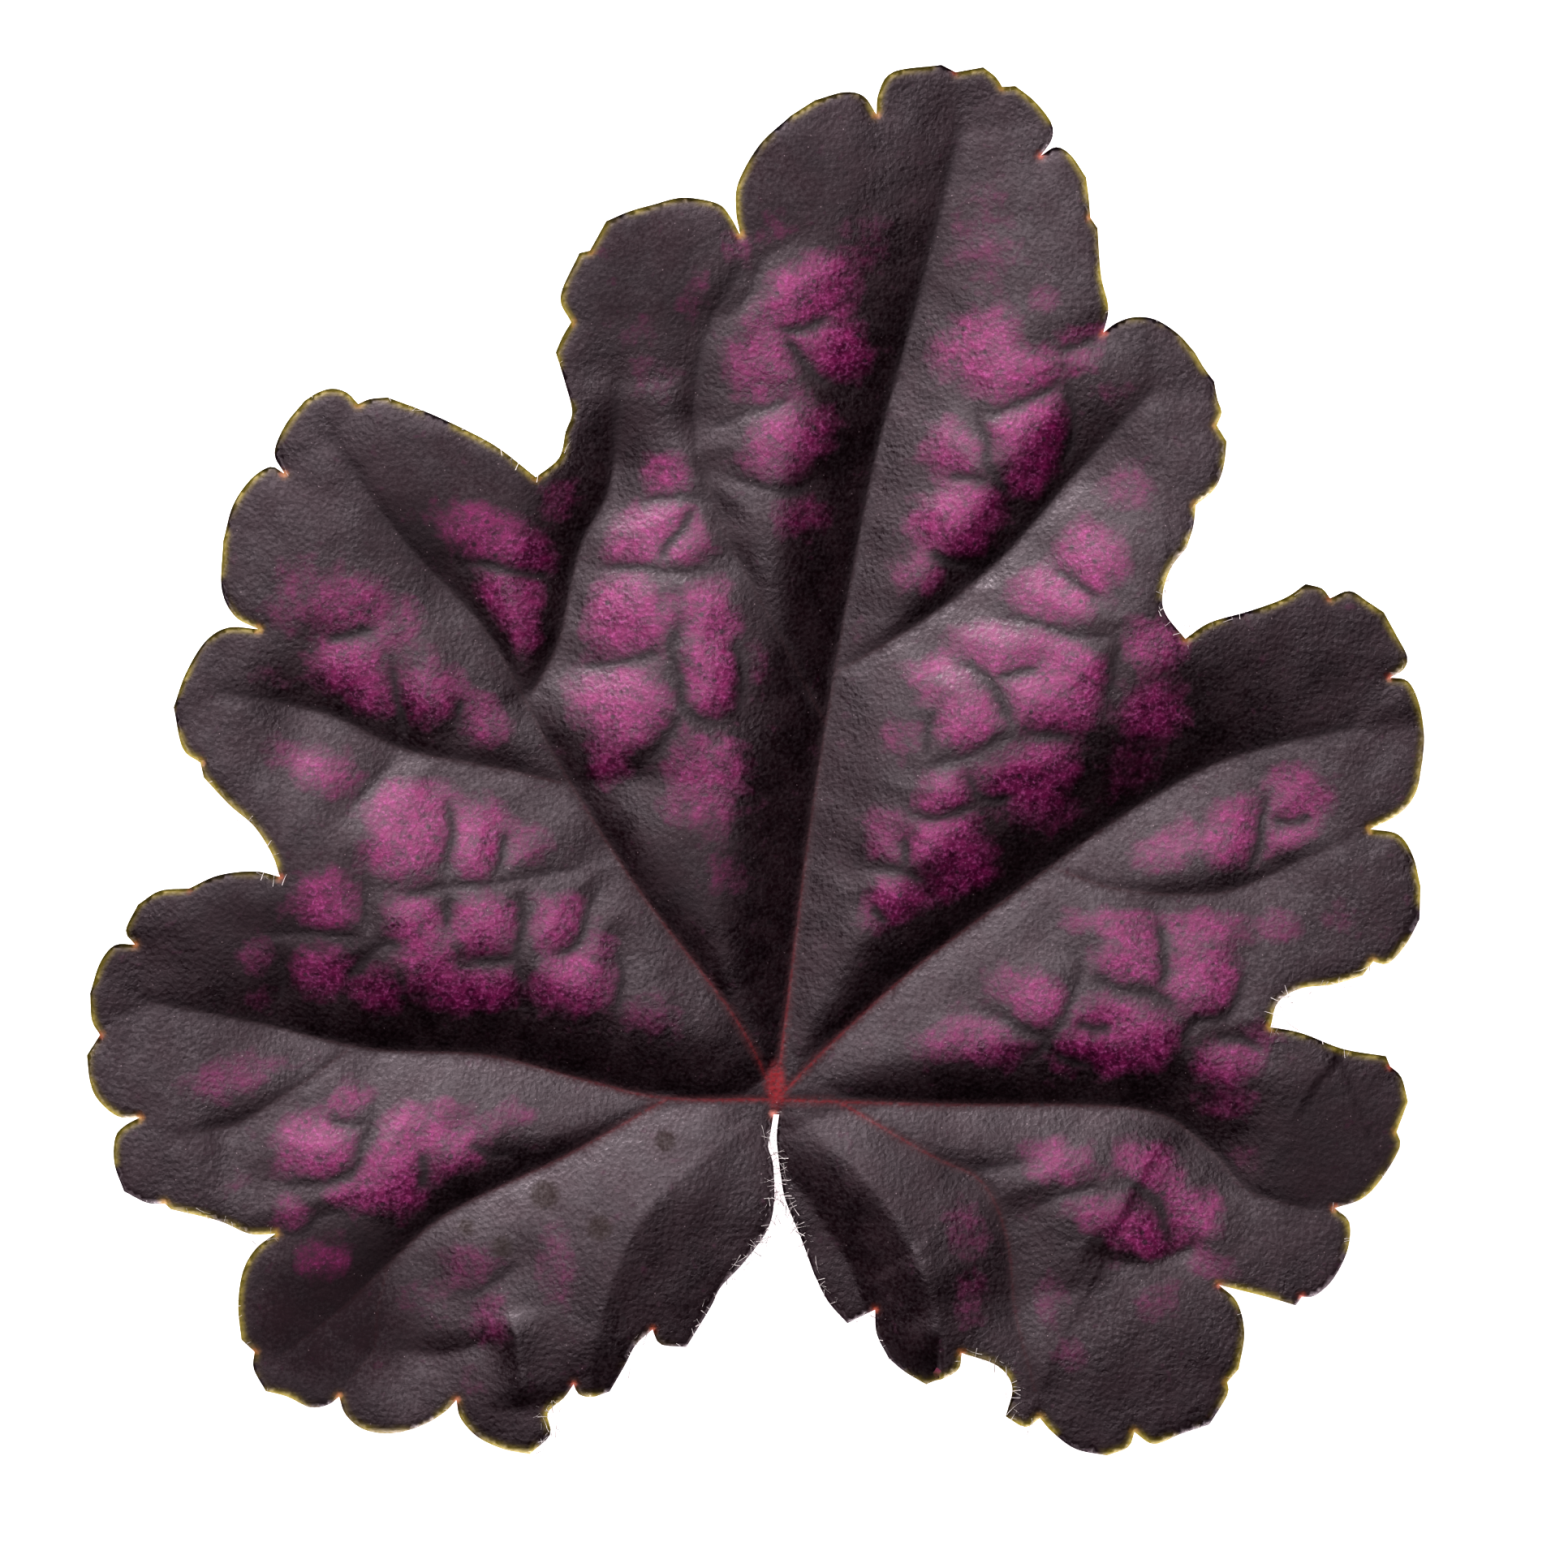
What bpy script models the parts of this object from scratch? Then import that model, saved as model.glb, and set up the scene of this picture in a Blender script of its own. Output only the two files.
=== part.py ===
"""One picked heuchera leaf, lying face up on a flat surface.

The leaf grew as one piece, so it is one closed solid: a thin lobed blade, folded
down into a valley along each vein, with a rib under each valley and the cut end
of the leaf stalk under the point where the veins meet. It rests on its ribs.

Outline, veins and folds are in millimetres, measured from the point where the
veins meet, with +Y towards the tip of the top lobe and +Z up. The finished leaf
is moved so that the middle of its footprint is the origin.
"""
import math

import bmesh
import bpy
import numpy as np
from mathutils.geometry import delaunay_2d_cdt

MM = 0.001

# Blade, ribs and the stalk's cut end, in millimetres
BLADE_THICKNESS = 0.45
RIB_STALK_DEPTH = 1.2
RIB_TIP_DEPTH = 0.25
RIB_TAPER = 30.0
SIDE_RIB_DEPTH = 0.5
STALK_RADIUS = 1.15
STALK_COLLAR = 0.45
STALK_CENTRE = (0.05, 0.75)
STALK_SIDES = 12

# Folds, in millimetres
VALLEY_RISE = 3.4
VALLEY_WIDTH = 7.0
VALLEY_BLUNTNESS = 0.35
SIDE_VEIN_FLOOR = 0.55
SIDE_VALLEY_SHARE = 0.85
RIDGE_BLUNTNESS = 0.35
CREST_RISE = 1.5
CREST_WIDTH = 3.6
CREST_FADE = 6.0
MARGIN_CURL_SHARE = 0.38
MARGIN_CURL_WIDTH = 4.0

# Spacing of the points that carry the surface, in millimetres
MARGIN_STEP = 1.05
VEIN_STEP = 1.7
BLADE_STEP = 2.3
RIB_OFFSET = 0.85
CLEAR_OF_MARGIN = 0.6
CLEAR_OF_VEIN = 0.55
CLEAR_OF_STALK = 0.2
CLEAR_OF_GRID = 1.4
ON_THE_VEIN = 0.3

# The margin as runs from one corner to the next, where a corner is a notch between
# two teeth, a small point on a tooth, or the bottom of a gap between two lobes.
# It starts at the stalk, goes down the left basal lobe and round by the top.
LEFT_BASAL_LOBE = [
    [(-0.15, -0.9), (-0.32, -2.0), (-0.47, -2.9), (-0.18, -3.9), (-0.1, -6.2),
     (-0.54, -8.0), (-2.0, -10.0), (-3.4, -11.5), (-4.0, -12.7)],
    [(-5.5, -15.15), (-7.0, -15.0), (-7.4, -14.5)],
    [(-7.55, -14.05), (-8.6, -15.0), (-9.27, -16.26)],
    [(-10.2, -17.87), (-11.3, -18.2), (-12.1, -18.0)],
    [(-12.4, -17.4), (-13.0, -18.25), (-14.0, -19.2), (-13.85, -20.5)],
    [(-15.1, -21.7), (-16.7, -21.4), (-18.3, -20.66), (-19.35, -19.5)],
    [(-19.6, -18.4), (-20.4, -19.2), (-21.8, -20.0), (-23.6, -20.45), (-25.3, -20.2), (-26.4, -19.3)],
    [(-26.8, -18.2), (-27.5, -18.7), (-28.6, -18.85), (-30.0, -18.2)],
    [(-31.3, -17.87), (-32.05, -16.5)],
    [(-32.0, -15.45)],
    [(-32.8, -14.7), (-33.0, -12.6), (-32.7, -10.5), (-31.9, -9.1)],
]
LEFT_LOBE = [
    [(-30.7, -8.2), (-32.3, -8.2), (-34.2, -7.4)],
    [(-37.1, -6.7)],
    [(-37.5, -6.35), (-38.6, -6.3)],
    [(-40.0, -5.6), (-40.6, -3.9), (-40.55, -2.3), (-40.0, -1.6)],
    [(-39.05, -1.07), (-40.4, -1.0), (-41.6, 0.0), (-42.1, 1.1)],
    [(-42.3, 2.74)],
    [(-41.5, 4.0), (-42.0, 4.9)],
    [(-42.1, 6.55), (-41.5, 8.4), (-40.6, 9.5)],
    [(-39.35, 9.55), (-39.9, 10.4)],
    [(-39.15, 12.0), (-37.8, 12.85)],
    [(-36.0, 13.0), (-34.2, 13.8), (-32.0, 14.05)],
]
UPPER_LEFT_LOBE = [
    [(-30.4, 13.7), (-30.9, 15.1), (-32.0, 16.8), (-33.5, 18.1)],
    [(-35.1, 19.8)],
    [(-35.3, 20.7), (-36.4, 21.6)],
    [(-36.95, 24.1), (-36.2, 26.2), (-35.0, 28.15), (-33.6, 29.0)],
    [(-31.75, 28.9), (-33.2, 29.7), (-34.0, 31.4)],
    [(-33.9, 34.3), (-33.3, 36.5), (-32.2, 38.1), (-31.0, 38.86)],
    [(-30.16, 38.45), (-30.75, 39.7), (-30.1, 41.4)],
    [(-28.9, 42.9), (-28.1, 43.4), (-27.2, 43.65), (-26.3, 43.4)],
    [(-25.6, 42.7), (-24.9, 43.0)],
    [(-23.8, 43.1), (-21.4, 42.2), (-19.0, 41.1), (-17.0, 40.0)],
]
TOP_LOBE = [
    [(-14.7, 38.2), (-13.3, 39.4), (-12.9, 41.0), (-12.5, 42.2), (-12.9, 43.9)],
    [(-13.5, 45.86), (-13.1, 46.8)],
    [(-12.56, 47.7), (-13.2, 49.3)],
    [(-12.05, 51.95)],
    [(-11.4, 52.1)],
    [(-10.4, 53.9), (-9.0, 54.5), (-7.6, 54.9), (-5.7, 55.35), (-3.6, 55.0), (-2.6, 54.1)],
    [(-2.2, 53.1), (-2.6, 54.6), (-2.3, 56.3), (-1.0, 58.6)],
    [(0.92, 60.4)],
    [(2.4, 61.35), (4.2, 61.85), (5.4, 61.6)],
    [(6.17, 60.5), (6.3, 61.8), (7.2, 63.1)],
    [(10.16, 63.55)],
    [(11.04, 63.1)],
    [(12.73, 63.4), (13.5, 62.8)],
    [(13.9, 62.2)],
    [(14.7, 62.25), (15.9, 61.3), (16.9, 60.0), (16.95, 59.0)],
    [(16.25, 57.96), (17.2, 58.5), (18.1, 58.0)],
    [(19.04, 56.64), (19.2, 55.4)],
    [(19.3, 54.15)],
    [(19.74, 53.5), (19.95, 50.6), (20.4, 48.6)],
    [(20.1, 47.1), (20.9, 47.7), (22.0, 48.05), (23.3, 47.9), (24.7, 47.0)],
    [(25.7, 45.9), (26.3, 44.9)],
    [(26.9, 44.1), (27.1, 43.0), (27.35, 42.2)],
    [(27.05, 41.4)],
    [(27.66, 40.4), (27.45, 38.8), (26.9, 37.5)],
    [(25.75, 36.5), (25.6, 35.2)],
    [(25.18, 33.9), (24.2, 32.6), (23.7, 31.0), (23.9, 29.8)],
]
UPPER_RIGHT_LOBE = [
    [(25.1, 28.3), (26.6, 29.3), (29.0, 30.0), (31.2, 30.8)],
    [(32.5, 31.67), (33.5, 31.4)],
    [(34.0, 30.8), (35.2, 31.25), (36.3, 30.6)],
    [(37.3, 29.94), (38.1, 28.5), (38.75, 27.2), (38.5, 26.4)],
    [(37.7, 25.94), (38.8, 25.7), (39.5, 24.3), (39.8, 22.4)],
    [(39.7, 20.85), (39.3, 18.9), (38.3, 17.6)],
    [(36.5, 16.63), (38.2, 16.3), (39.1, 15.0)],
    [(39.57, 13.1)],
    [(39.5, 11.1), (38.7, 9.6), (37.6, 8.4)],
    [(36.65, 8.5)],
    [(36.0, 7.65), (34.2, 7.1), (32.2, 6.85), (30.8, 6.0)],
]
RIGHT_LOBE = [
    [(30.35, 4.5), (32.3, 4.1), (34.8, 3.15)],
    [(37.45, 2.7)],
    [(37.7, 2.08), (38.4, 1.4)],
    [(38.8, -0.1)],
    [(38.1, -1.95), (38.3, -2.9), (37.2, -4.8), (36.0, -6.05)],
    [(34.3, -6.65), (35.2, -7.5), (35.1, -9.2), (34.2, -11.0), (33.1, -12.0)],
    [(32.3, -12.07)],
    [(31.9, -12.6), (30.2, -12.1)],
]
RIGHT_BASAL_LOBE = [
    [(27.2, -11.35), (28.3, -12.4), (28.75, -14.3)],
    [(28.4, -16.5)],
    [(27.7, -17.3), (27.7, -18.1)],
    [(26.6, -19.9), (24.8, -20.5), (23.2, -21.1)],
    [(22.0, -20.37), (21.6, -21.3)],
    [(20.3, -21.8), (18.4, -21.4), (17.0, -20.4)],
    [(16.2, -19.5), (15.3, -20.05)],
    [(14.1, -19.4), (14.5, -17.6), (13.6, -16.3)],
    [(11.4, -15.5), (11.1, -16.6)],
    [(9.24, -17.5), (7.9, -16.7)],
    [(6.94, -15.9), (6.2, -14.4)],
    [(6.1, -12.9)],
    [(4.4, -13.75), (3.2, -12.4)],
    [(2.36, -10.75), (1.5, -8.4), (0.6, -6.2), (0.32, -4.8), (0.15, -3.5), (0.05, -2.2), (0.2, -0.9)],
]
MARGIN = (LEFT_BASAL_LOBE + LEFT_LOBE + UPPER_LEFT_LOBE + TOP_LOBE
          + UPPER_RIGHT_LOBE + RIGHT_LOBE + RIGHT_BASAL_LOBE)

# Main veins, which start at the stalk
MAIN_VEINS = {
    "top": [(0.0, 0.0), (0.95, 7.7), (1.7, 13.7), (2.6, 20.0), (4.3, 30.0), (6.3, 40.0),
            (9.0, 50.0), (11.3, 59.5)],
    "upper_left": [(0.0, 0.0), (-1.6, 3.5), (-3.6, 6.6), (-8.5, 13.0), (-13.2, 20.4), (-17.8, 28.7),
                   (-22.8, 34.2), (-27.2, 40.5)],
    "left": [(0.0, 0.0), (-6.8, 0.1), (-11.8, 1.2), (-17.8, 2.7), (-25.0, 3.1), (-32.0, 4.7),
             (-38.5, 6.0)],
    "upper_right": [(0.0, 0.0), (4.2, 4.2), (8.7, 8.2), (14.7, 12.7), (22.2, 18.2), (28.1, 21.9),
                    (35.0, 24.3)],
    "right": [(0.0, 0.0), (9.7, -0.3), (22.2, -0.6), (26.5, -3.0), (29.0, -5.6), (32.6, -6.7)],
}
# Side veins, which leave a main vein: their valleys are a little higher and narrower
SIDE_VEINS = {
    "top_left": [(3.1, 23.0), (0.2, 28.5), (-3.4, 35.5), (-4.95, 41.7), (-4.2, 47.1), (-2.3, 50.8)],
    "top_right": [(3.6, 26.2), (9.0, 29.4), (13.8, 33.2), (18.7, 38.7), (23.0, 43.5)],
    "upper_left_outer": [(-13.3, 19.5), (-17.8, 20.5), (-22.8, 21.5), (-27.8, 23.7), (-34.0, 25.0)],
    "upper_left_inner": [(-14.8, 25.2), (-13.2, 28.5), (-12.0, 33.9), (-10.1, 37.9), (-9.6, 44.0)],
    "left_lower": [(-26.3, 3.1), (-28.2, 1.6), (-30.5, 0.1), (-33.2, -1.5), (-36.8, -2.1)],
    "left_basal": [(-6.8, 0.0), (-13.0, -3.5), (-20.0, -6.9), (-23.8, -10.1), (-26.6, -12.8), (-30.2, -15.6)],
    "left_basal_inner": [(-23.8, -10.1), (-24.5, -13.0), (-24.7, -15.4), (-26.2, -17.2)],
    "upper_right_lower": [(17.2, 14.2), (21.2, 12.9), (27.3, 12.7), (32.0, 14.6), (35.2, 16.2)],
    "right_basal": [(4.0, -0.2), (9.5, -3.4), (12.6, -5.0), (14.2, -8.5), (14.7, -13.0), (15.9, -17.8)],
}
# Crests: lines along which the basal lobes turn down towards the gap between them
CRESTS = {
    "left_basal_crest": [(-1.6, -1.6), (-5.0, -4.0), (-8.5, -7.6), (-10.2, -11.6), (-11.0, -14.5)],
    "right_basal_crest": [(1.6, -1.2), (4.9, -4.0), (8.0, -8.0), (9.7, -12.0), (10.0, -14.0)],
}

# Leaf blade colour and surface, as Principled BSDF inputs
BLADE_COLOR = (0.035, 0.014, 0.030, 1.0)
BLADE_ROUGHNESS = 0.45


def smooth_curve(points, step):
    """Points every step along a Catmull-Rom curve through the given points."""
    knots = [np.array(p, float) for p in points]
    knots = [2 * knots[0] - knots[1]] + knots + [2 * knots[-1] - knots[-2]]
    line = []
    for before, start, end, after in zip(knots, knots[1:], knots[2:], knots[3:]):
        count = max(1, round(float(np.linalg.norm(end - start)) / step))
        for i in range(count):
            t = i / count
            line.append(0.5 * (2 * start + (end - before) * t
                               + (2 * before - 5 * start + 4 * end - after) * t ** 2
                               + (3 * start - before - 3 * end + after) * t ** 3))
    line.append(knots[-2])
    return np.array(line)


def margin_loop():
    """The whole margin as one loop of points, with a sharp corner at each run's start."""
    loop = []
    for run, following in zip(MARGIN, MARGIN[1:]):
        loop.extend(smooth_curve(run + [following[0]], MARGIN_STEP)[:-1])
    loop.extend(smooth_curve(MARGIN[-1], MARGIN_STEP))
    return np.array(loop)


def distance_to(points, line):
    """Distance from each point to a line, and how far along it the nearest place is."""
    nearest = np.full(len(points), np.inf)
    along = np.zeros(len(points))
    walked = 0.0
    for start, end in zip(line, line[1:]):
        run = end - start
        length = float(np.linalg.norm(run))
        share = np.clip((points - start) @ run / length ** 2, 0.0, 1.0)
        gap = np.linalg.norm(points - (start + share[:, None] * run), axis=1)
        closer = gap < nearest
        nearest = np.where(closer, gap, nearest)
        along = np.where(closer, walked + share * length, along)
        walked += length
    return nearest, along / walked


def closed(loop):
    """The loop with its first point again at its end."""
    return np.vstack([loop, loop[:1]])


def is_inside(points, loop):
    """Which points lie inside a closed loop, by counting the edges to their right."""
    crossings = np.zeros(len(points), int)
    for (x0, y0), (x1, y1) in zip(loop, np.roll(loop, -1, axis=0)):
        spans = (y0 > points[:, 1]) != (y1 > points[:, 1])
        if y0 != y1:
            at_x = x0 + (points[:, 1] - y0) * (x1 - x0) / (y1 - y0)
            crossings += spans & (points[:, 0] < at_x)
    return crossings % 2 == 1


def valley(gap):
    """Rise of the blade at a distance from a vein, steep beside it and level far away."""
    blunt = np.sqrt(gap ** 2 + VALLEY_BLUNTNESS ** 2) - VALLEY_BLUNTNESS
    return VALLEY_RISE * (1.0 - np.exp(-blunt / VALLEY_WIDTH))


def blade_underside(points, lines, loop):
    """Height of the blade's underside, without its ribs."""
    sheets = []
    for name in MAIN_VEINS:
        sheets.append(valley(distance_to(points, lines[name])[0]))
    for name in SIDE_VEINS:
        sheets.append(SIDE_VEIN_FLOOR + SIDE_VALLEY_SHARE * valley(distance_to(points, lines[name])[0]))
    lowest = -RIDGE_BLUNTNESS * np.log(np.exp(-np.array(sheets) / RIDGE_BLUNTNESS).sum(axis=0))
    height = np.maximum(lowest, 0.0)
    from_stalk = np.linalg.norm(points, axis=1)
    for name in CRESTS:
        gap = distance_to(points, lines[name])[0]
        height += CREST_RISE * np.exp(-gap / CREST_WIDTH) * (1.0 - np.exp(-from_stalk / CREST_FADE))
    from_margin = distance_to(points, closed(loop))[0]
    height *= 1.0 - MARGIN_CURL_SHARE * np.exp(-from_margin / MARGIN_CURL_WIDTH)
    floor = RIB_TIP_DEPTH + (RIB_STALK_DEPTH - RIB_TIP_DEPTH) * np.exp(-from_stalk / RIB_TAPER)
    return floor + height


def rib_depth(points, lines, underside):
    """How far the ribs and the stalk's cut end hang below the blade's underside."""
    depth = np.zeros(len(points))
    for name in SIDE_VEINS:
        gap, along = distance_to(points, lines[name])
        hang = SIDE_RIB_DEPTH * (1.0 - 0.5 * along)
        depth = np.where(gap < ON_THE_VEIN, hang, depth)
    for name in MAIN_VEINS:
        gap = distance_to(points, lines[name])[0]
        depth = np.where(gap < ON_THE_VEIN, underside, depth)
    from_stalk = np.linalg.norm(points - np.array(STALK_CENTRE), axis=1)
    depth = np.where(from_stalk < STALK_RADIUS * 1.01, underside, depth)
    return np.minimum(depth, underside)


def ring(radius):
    """Points evenly round the stalk."""
    turns = [2 * math.pi * i / STALK_SIDES for i in range(STALK_SIDES)]
    return [(STALK_CENTRE[0] + radius * math.cos(t), STALK_CENTRE[1] + radius * math.sin(t)) for t in turns]


def surface_points(loop, lines):
    """The margin, the stalk, the veins with a row on each side, and a filling grid."""
    inner = [np.array(STALK_CENTRE)]

    def add(candidates, clear):
        candidates = np.array(candidates)
        from_margin = distance_to(candidates, closed(loop))[0]
        allowed = is_inside(candidates, loop) & (from_margin > CLEAR_OF_MARGIN)
        for point in candidates[allowed]:
            if np.linalg.norm(np.array(inner) - point, axis=1).min() > clear:
                inner.append(point)

    add(ring(STALK_RADIUS), CLEAR_OF_STALK)
    add(ring(STALK_RADIUS + STALK_COLLAR), CLEAR_OF_STALK)
    for line in lines.values():
        add(line, CLEAR_OF_VEIN)
    for name in list(MAIN_VEINS) + list(SIDE_VEINS):
        run = np.gradient(lines[name], axis=0)
        side = np.column_stack([-run[:, 1], run[:, 0]]) / np.linalg.norm(run, axis=1)[:, None]
        for sign in (-1.0, 1.0):
            add(lines[name] + sign * RIB_OFFSET * side, CLEAR_OF_VEIN)
    low, high = loop.min(axis=0), loop.max(axis=0)
    row_step = BLADE_STEP * math.sqrt(3.0) / 2.0
    rows = int((high[1] - low[1]) / row_step)
    columns = int((high[0] - low[0]) / BLADE_STEP)
    grid = [(low[0] + (c + 0.5 * (r % 2)) * BLADE_STEP, low[1] + r * row_step)
            for r in range(rows + 1) for c in range(columns + 1)]
    add(grid, CLEAR_OF_GRID)
    return np.vstack([loop, inner])


def build_leaf(collection):
    """The leaf as one closed shell: a triangulated sheet, extruded up by the blade's thickness."""
    loop = margin_loop()
    lines = {}
    for group in (MAIN_VEINS, SIDE_VEINS, CRESTS):
        for name, points in group.items():
            lines[name] = smooth_curve(points, VEIN_STEP)
    flat = surface_points(loop, lines)
    corners, _, faces, _, _, _ = delaunay_2d_cdt(
        [tuple(p) for p in flat], [], [list(range(len(loop)))], 1, 1e-6)
    flat = np.array([tuple(c) for c in corners])
    underside = blade_underside(flat, lines, loop)
    bottom = underside - rib_depth(flat, lines, underside)
    middle = 0.5 * (loop.min(axis=0) + loop.max(axis=0))
    placed = (flat - middle) * MM

    body = bmesh.new()
    upper = body.verts.layers.float.new("upper_height")
    verts = []
    for (x, y), low, high in zip(placed, bottom * MM, (underside + BLADE_THICKNESS) * MM):
        vert = body.verts.new((x, y, low))
        vert[upper] = high
        verts.append(vert)
    for face in faces:
        body.faces.new([verts[i] for i in face])
    raised = bmesh.ops.extrude_face_region(body, geom=list(body.faces))
    for item in raised["geom"]:
        if isinstance(item, bmesh.types.BMVert):
            item.co.z = item[upper]
    bmesh.ops.triangulate(body, faces=list(body.faces))
    bmesh.ops.recalc_face_normals(body, faces=list(body.faces))
    mesh = bpy.data.meshes.new("leaf")
    body.to_mesh(mesh)
    body.free()
    mesh.shade_smooth()
    leaf = bpy.data.objects.new("leaf", mesh)
    collection.objects.link(leaf)
    return leaf


def blade_material():
    """The dark purple leaf surface."""
    material = bpy.data.materials.new("leaf")
    material.use_nodes = True
    shader = material.node_tree.nodes["Principled BSDF"]
    shader.inputs["Base Color"].default_value = BLADE_COLOR
    shader.inputs["Roughness"].default_value = BLADE_ROUGHNESS
    shader.inputs["Metallic"].default_value = 0.0
    return material


def main():
    for old in list(bpy.data.objects):
        bpy.data.objects.remove(old, do_unlink=True)
    collection = bpy.data.collections.new("heuchera_leaf")
    bpy.context.scene.collection.children.link(collection)
    leaf = build_leaf(collection)
    leaf.data.materials.append(blade_material())


main()
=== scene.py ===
"""The looks of one picked heuchera leaf, lying face up on a pale floor.

The leaf is made again here in fine detail: the same outline, veins and folds as its
solid, with the small veins, the quilted skin between them, a thin margin, and ribs
underneath. Its colours are painted by weights at the mesh points: magenta between
the veins, crimson by the stalk, and olive at the rim. Dark lines along the veins are
partly the veins' own colour and partly painted shade in the creases they lie in.
White hairs line the margin.

Outline, veins and patches are in millimetres from the point where the veins meet,
with +Y towards the tip of the top lobe and +Z up, as in the leaf's solid.
"""
import math
import random

import bpy
import numpy as np
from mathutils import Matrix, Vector, kdtree, noise
from mathutils.geometry import delaunay_2d_cdt


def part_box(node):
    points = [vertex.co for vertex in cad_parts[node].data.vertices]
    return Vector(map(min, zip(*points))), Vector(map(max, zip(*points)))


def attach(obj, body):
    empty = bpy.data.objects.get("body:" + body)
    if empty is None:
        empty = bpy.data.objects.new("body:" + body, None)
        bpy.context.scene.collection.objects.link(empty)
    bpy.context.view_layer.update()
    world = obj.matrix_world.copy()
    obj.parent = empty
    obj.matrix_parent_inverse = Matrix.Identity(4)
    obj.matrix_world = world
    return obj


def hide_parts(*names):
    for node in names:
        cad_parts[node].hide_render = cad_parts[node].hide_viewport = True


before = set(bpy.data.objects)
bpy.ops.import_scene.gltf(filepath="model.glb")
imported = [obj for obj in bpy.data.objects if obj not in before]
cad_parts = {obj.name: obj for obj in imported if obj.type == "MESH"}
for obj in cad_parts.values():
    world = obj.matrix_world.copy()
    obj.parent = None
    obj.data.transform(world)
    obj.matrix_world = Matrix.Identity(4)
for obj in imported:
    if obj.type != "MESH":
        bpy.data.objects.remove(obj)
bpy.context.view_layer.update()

MM = 0.001

# Blade, ribs and stalk end, in millimetres. The narrowing and the loss are shares that a
# rib gives up by its far end.
SOLID_THICKNESS = 0.45
BLADE_THICKNESS = 0.34
MARGIN_THICKNESS = 0.16
MARGIN_DROP = 0.10
MARGIN_ROUND = 0.30
RIB_STALK_DEPTH = 1.2
RIB_TIP_DEPTH = 0.25
RIB_TAPER = 30.0
MAIN_RIB_HALF_WIDTH = 0.62
SIDE_RIB_DEPTH = 0.5
SIDE_RIB_HALF_WIDTH = 0.42
SMALL_RIB_DEPTH = 0.10
SMALL_RIB_HALF_WIDTH = 0.30
MAIN_RIB_NARROWING = 0.45
SIDE_RIB_LOSS = 0.5
RIBS_FROM_MARGIN = 0.8
STALK_RADIUS = 1.15
STALK_FLARE = 0.35
STALK_CENTRE = (0.05, 0.75)

# Folds along the veins: lengths in millimetres, ends as shares of a vein's length
VALLEY_REACH = 10.0
GENTLE_SLOPE = 0.30
STEEP_SLOPE = 0.39
STEEP_SIDE = (-0.25, 0.97)
STEEP_TURN = (-0.3, 0.35)
LIFTED_END = (0.72, 1.0)
VEIN_END_RISE = 0.9
CEILING_START = 3.1
CEILING_ROOM = 0.8
VALLEY_BLUNTNESS = 0.12
FLAT_END = (0.66, 1.0)
FLAT_END_SHARE = 0.7
RIDGE_BLUNTNESS = 0.34
CREST_BLUNTNESS = 0.8
CREST_RISE = 0.35
CREST_WIDTH = 3.4
CREST_FADE = 4.0
BELOW_LEAF = -24.0
MARGIN_CURL_SHARE = 0.08
MARGIN_CURL_WIDTH = 4.0

# Small veins and the quilted skin between them, in millimetres
SMALL_VEIN_DEPTH = 0.06
SMALL_VEIN_WIDTH = 0.32
SMALL_VEIN_BLUNTNESS = 0.12
SMALL_FOLD_DEPTH = 0.32
SMALL_FOLD_WIDTH = 1.7
SMALL_CREST_RISE = 0.35
SMALL_CREST_WIDTH = 1.5
CREASE_DEPTHS = (0.06, 0.04)
CREASE_WIDTH = 0.45
QUILT_DEPTH = 0.15
QUILT_WIDTH = 1.5
WRINKLES = ((2.4, 0.05), (0.8, 0.008))
LINE_FADE = 0.8

# Spacing of the mesh points, in millimetres, with the grid's clearance as a share of its step
MARGIN_STEP = 0.30
VEIN_STEP = 0.6
UPPER_STEP = 0.285
LOWER_STEP = 0.75
VEIN_ROW_OFFSETS = (0.0, 0.15, -0.15)
RIB_ROW_OFFSETS = (0.0, 0.28, -0.28, 0.52, -0.52, 0.8, -0.8)
UPPER_CLEARANCE = 0.14
LOWER_CLEARANCE = 0.30
ROW_CLEARANCE = 0.11
GRID_CLEARANCE = 0.62

# Lines and marks on the skin, in millimetres. A line has a strength and a half width, and
# the crimson spot has its height above the middle, its half width and its half length.
# The dark vein lines are partly the veins' own colour and partly painted shade in their creases.
MAIN_LINE = (0.8, 0.40)
SIDE_LINE = (0.8, 0.34)
SMALL_LINE = (0.85, 0.20)
CRIMSON_LINE = (0.8, 0.13)
CRIMSON_REACH = 9.0
CRIMSON_SPOT = (0.9, 0.55, 1.3)
CRIMSON_EDGES = (0.5, 1.5)
RIM_WIDTH = 0.26
RIM_START = (14.0, 24.0)
NOTCH_TURN = 0.08
NOTCH_POINT_RADIUS = 0.20

# Grain of the skin: size in millimetres, detail and roughness
COARSE_GRAIN = (2.2, 3.0, 0.5)
CLOUD_GRAIN = (1.6, 2.0, 0.6)
MOTTLE_GRAIN = (0.75, 3.0, 0.6)
FINE_GRAIN = (0.22, 2.0, 0.6)
WORN_GRAIN = (3.0, 2.0, 0.5)
HAIR_GRAIN = (1.5, 2.0, 0.5)

# Cells of the skin, in millimetres, and bumps: height in millimetres and strength
LEATHER_CELLS = 0.34
SPECK_CELLS = 0.8
DOT_CELLS = 1.25
LEATHER_BUMP = (0.022, 0.8)
FINE_BUMP = (0.028, 0.8)
MOTTLE_BUMP = (0.024, 0.6)

# How strongly the marks cover the skin
# The vein lines' cover is partly the veins' own dark colour and partly painted shade in their creases.
VEIN_AND_CREASE_SHADE_COVER = 0.85
BLOTCH_COVER = 0.7
SPECK_COVER = 0.6
DOT_COVER = 0.7

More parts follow.
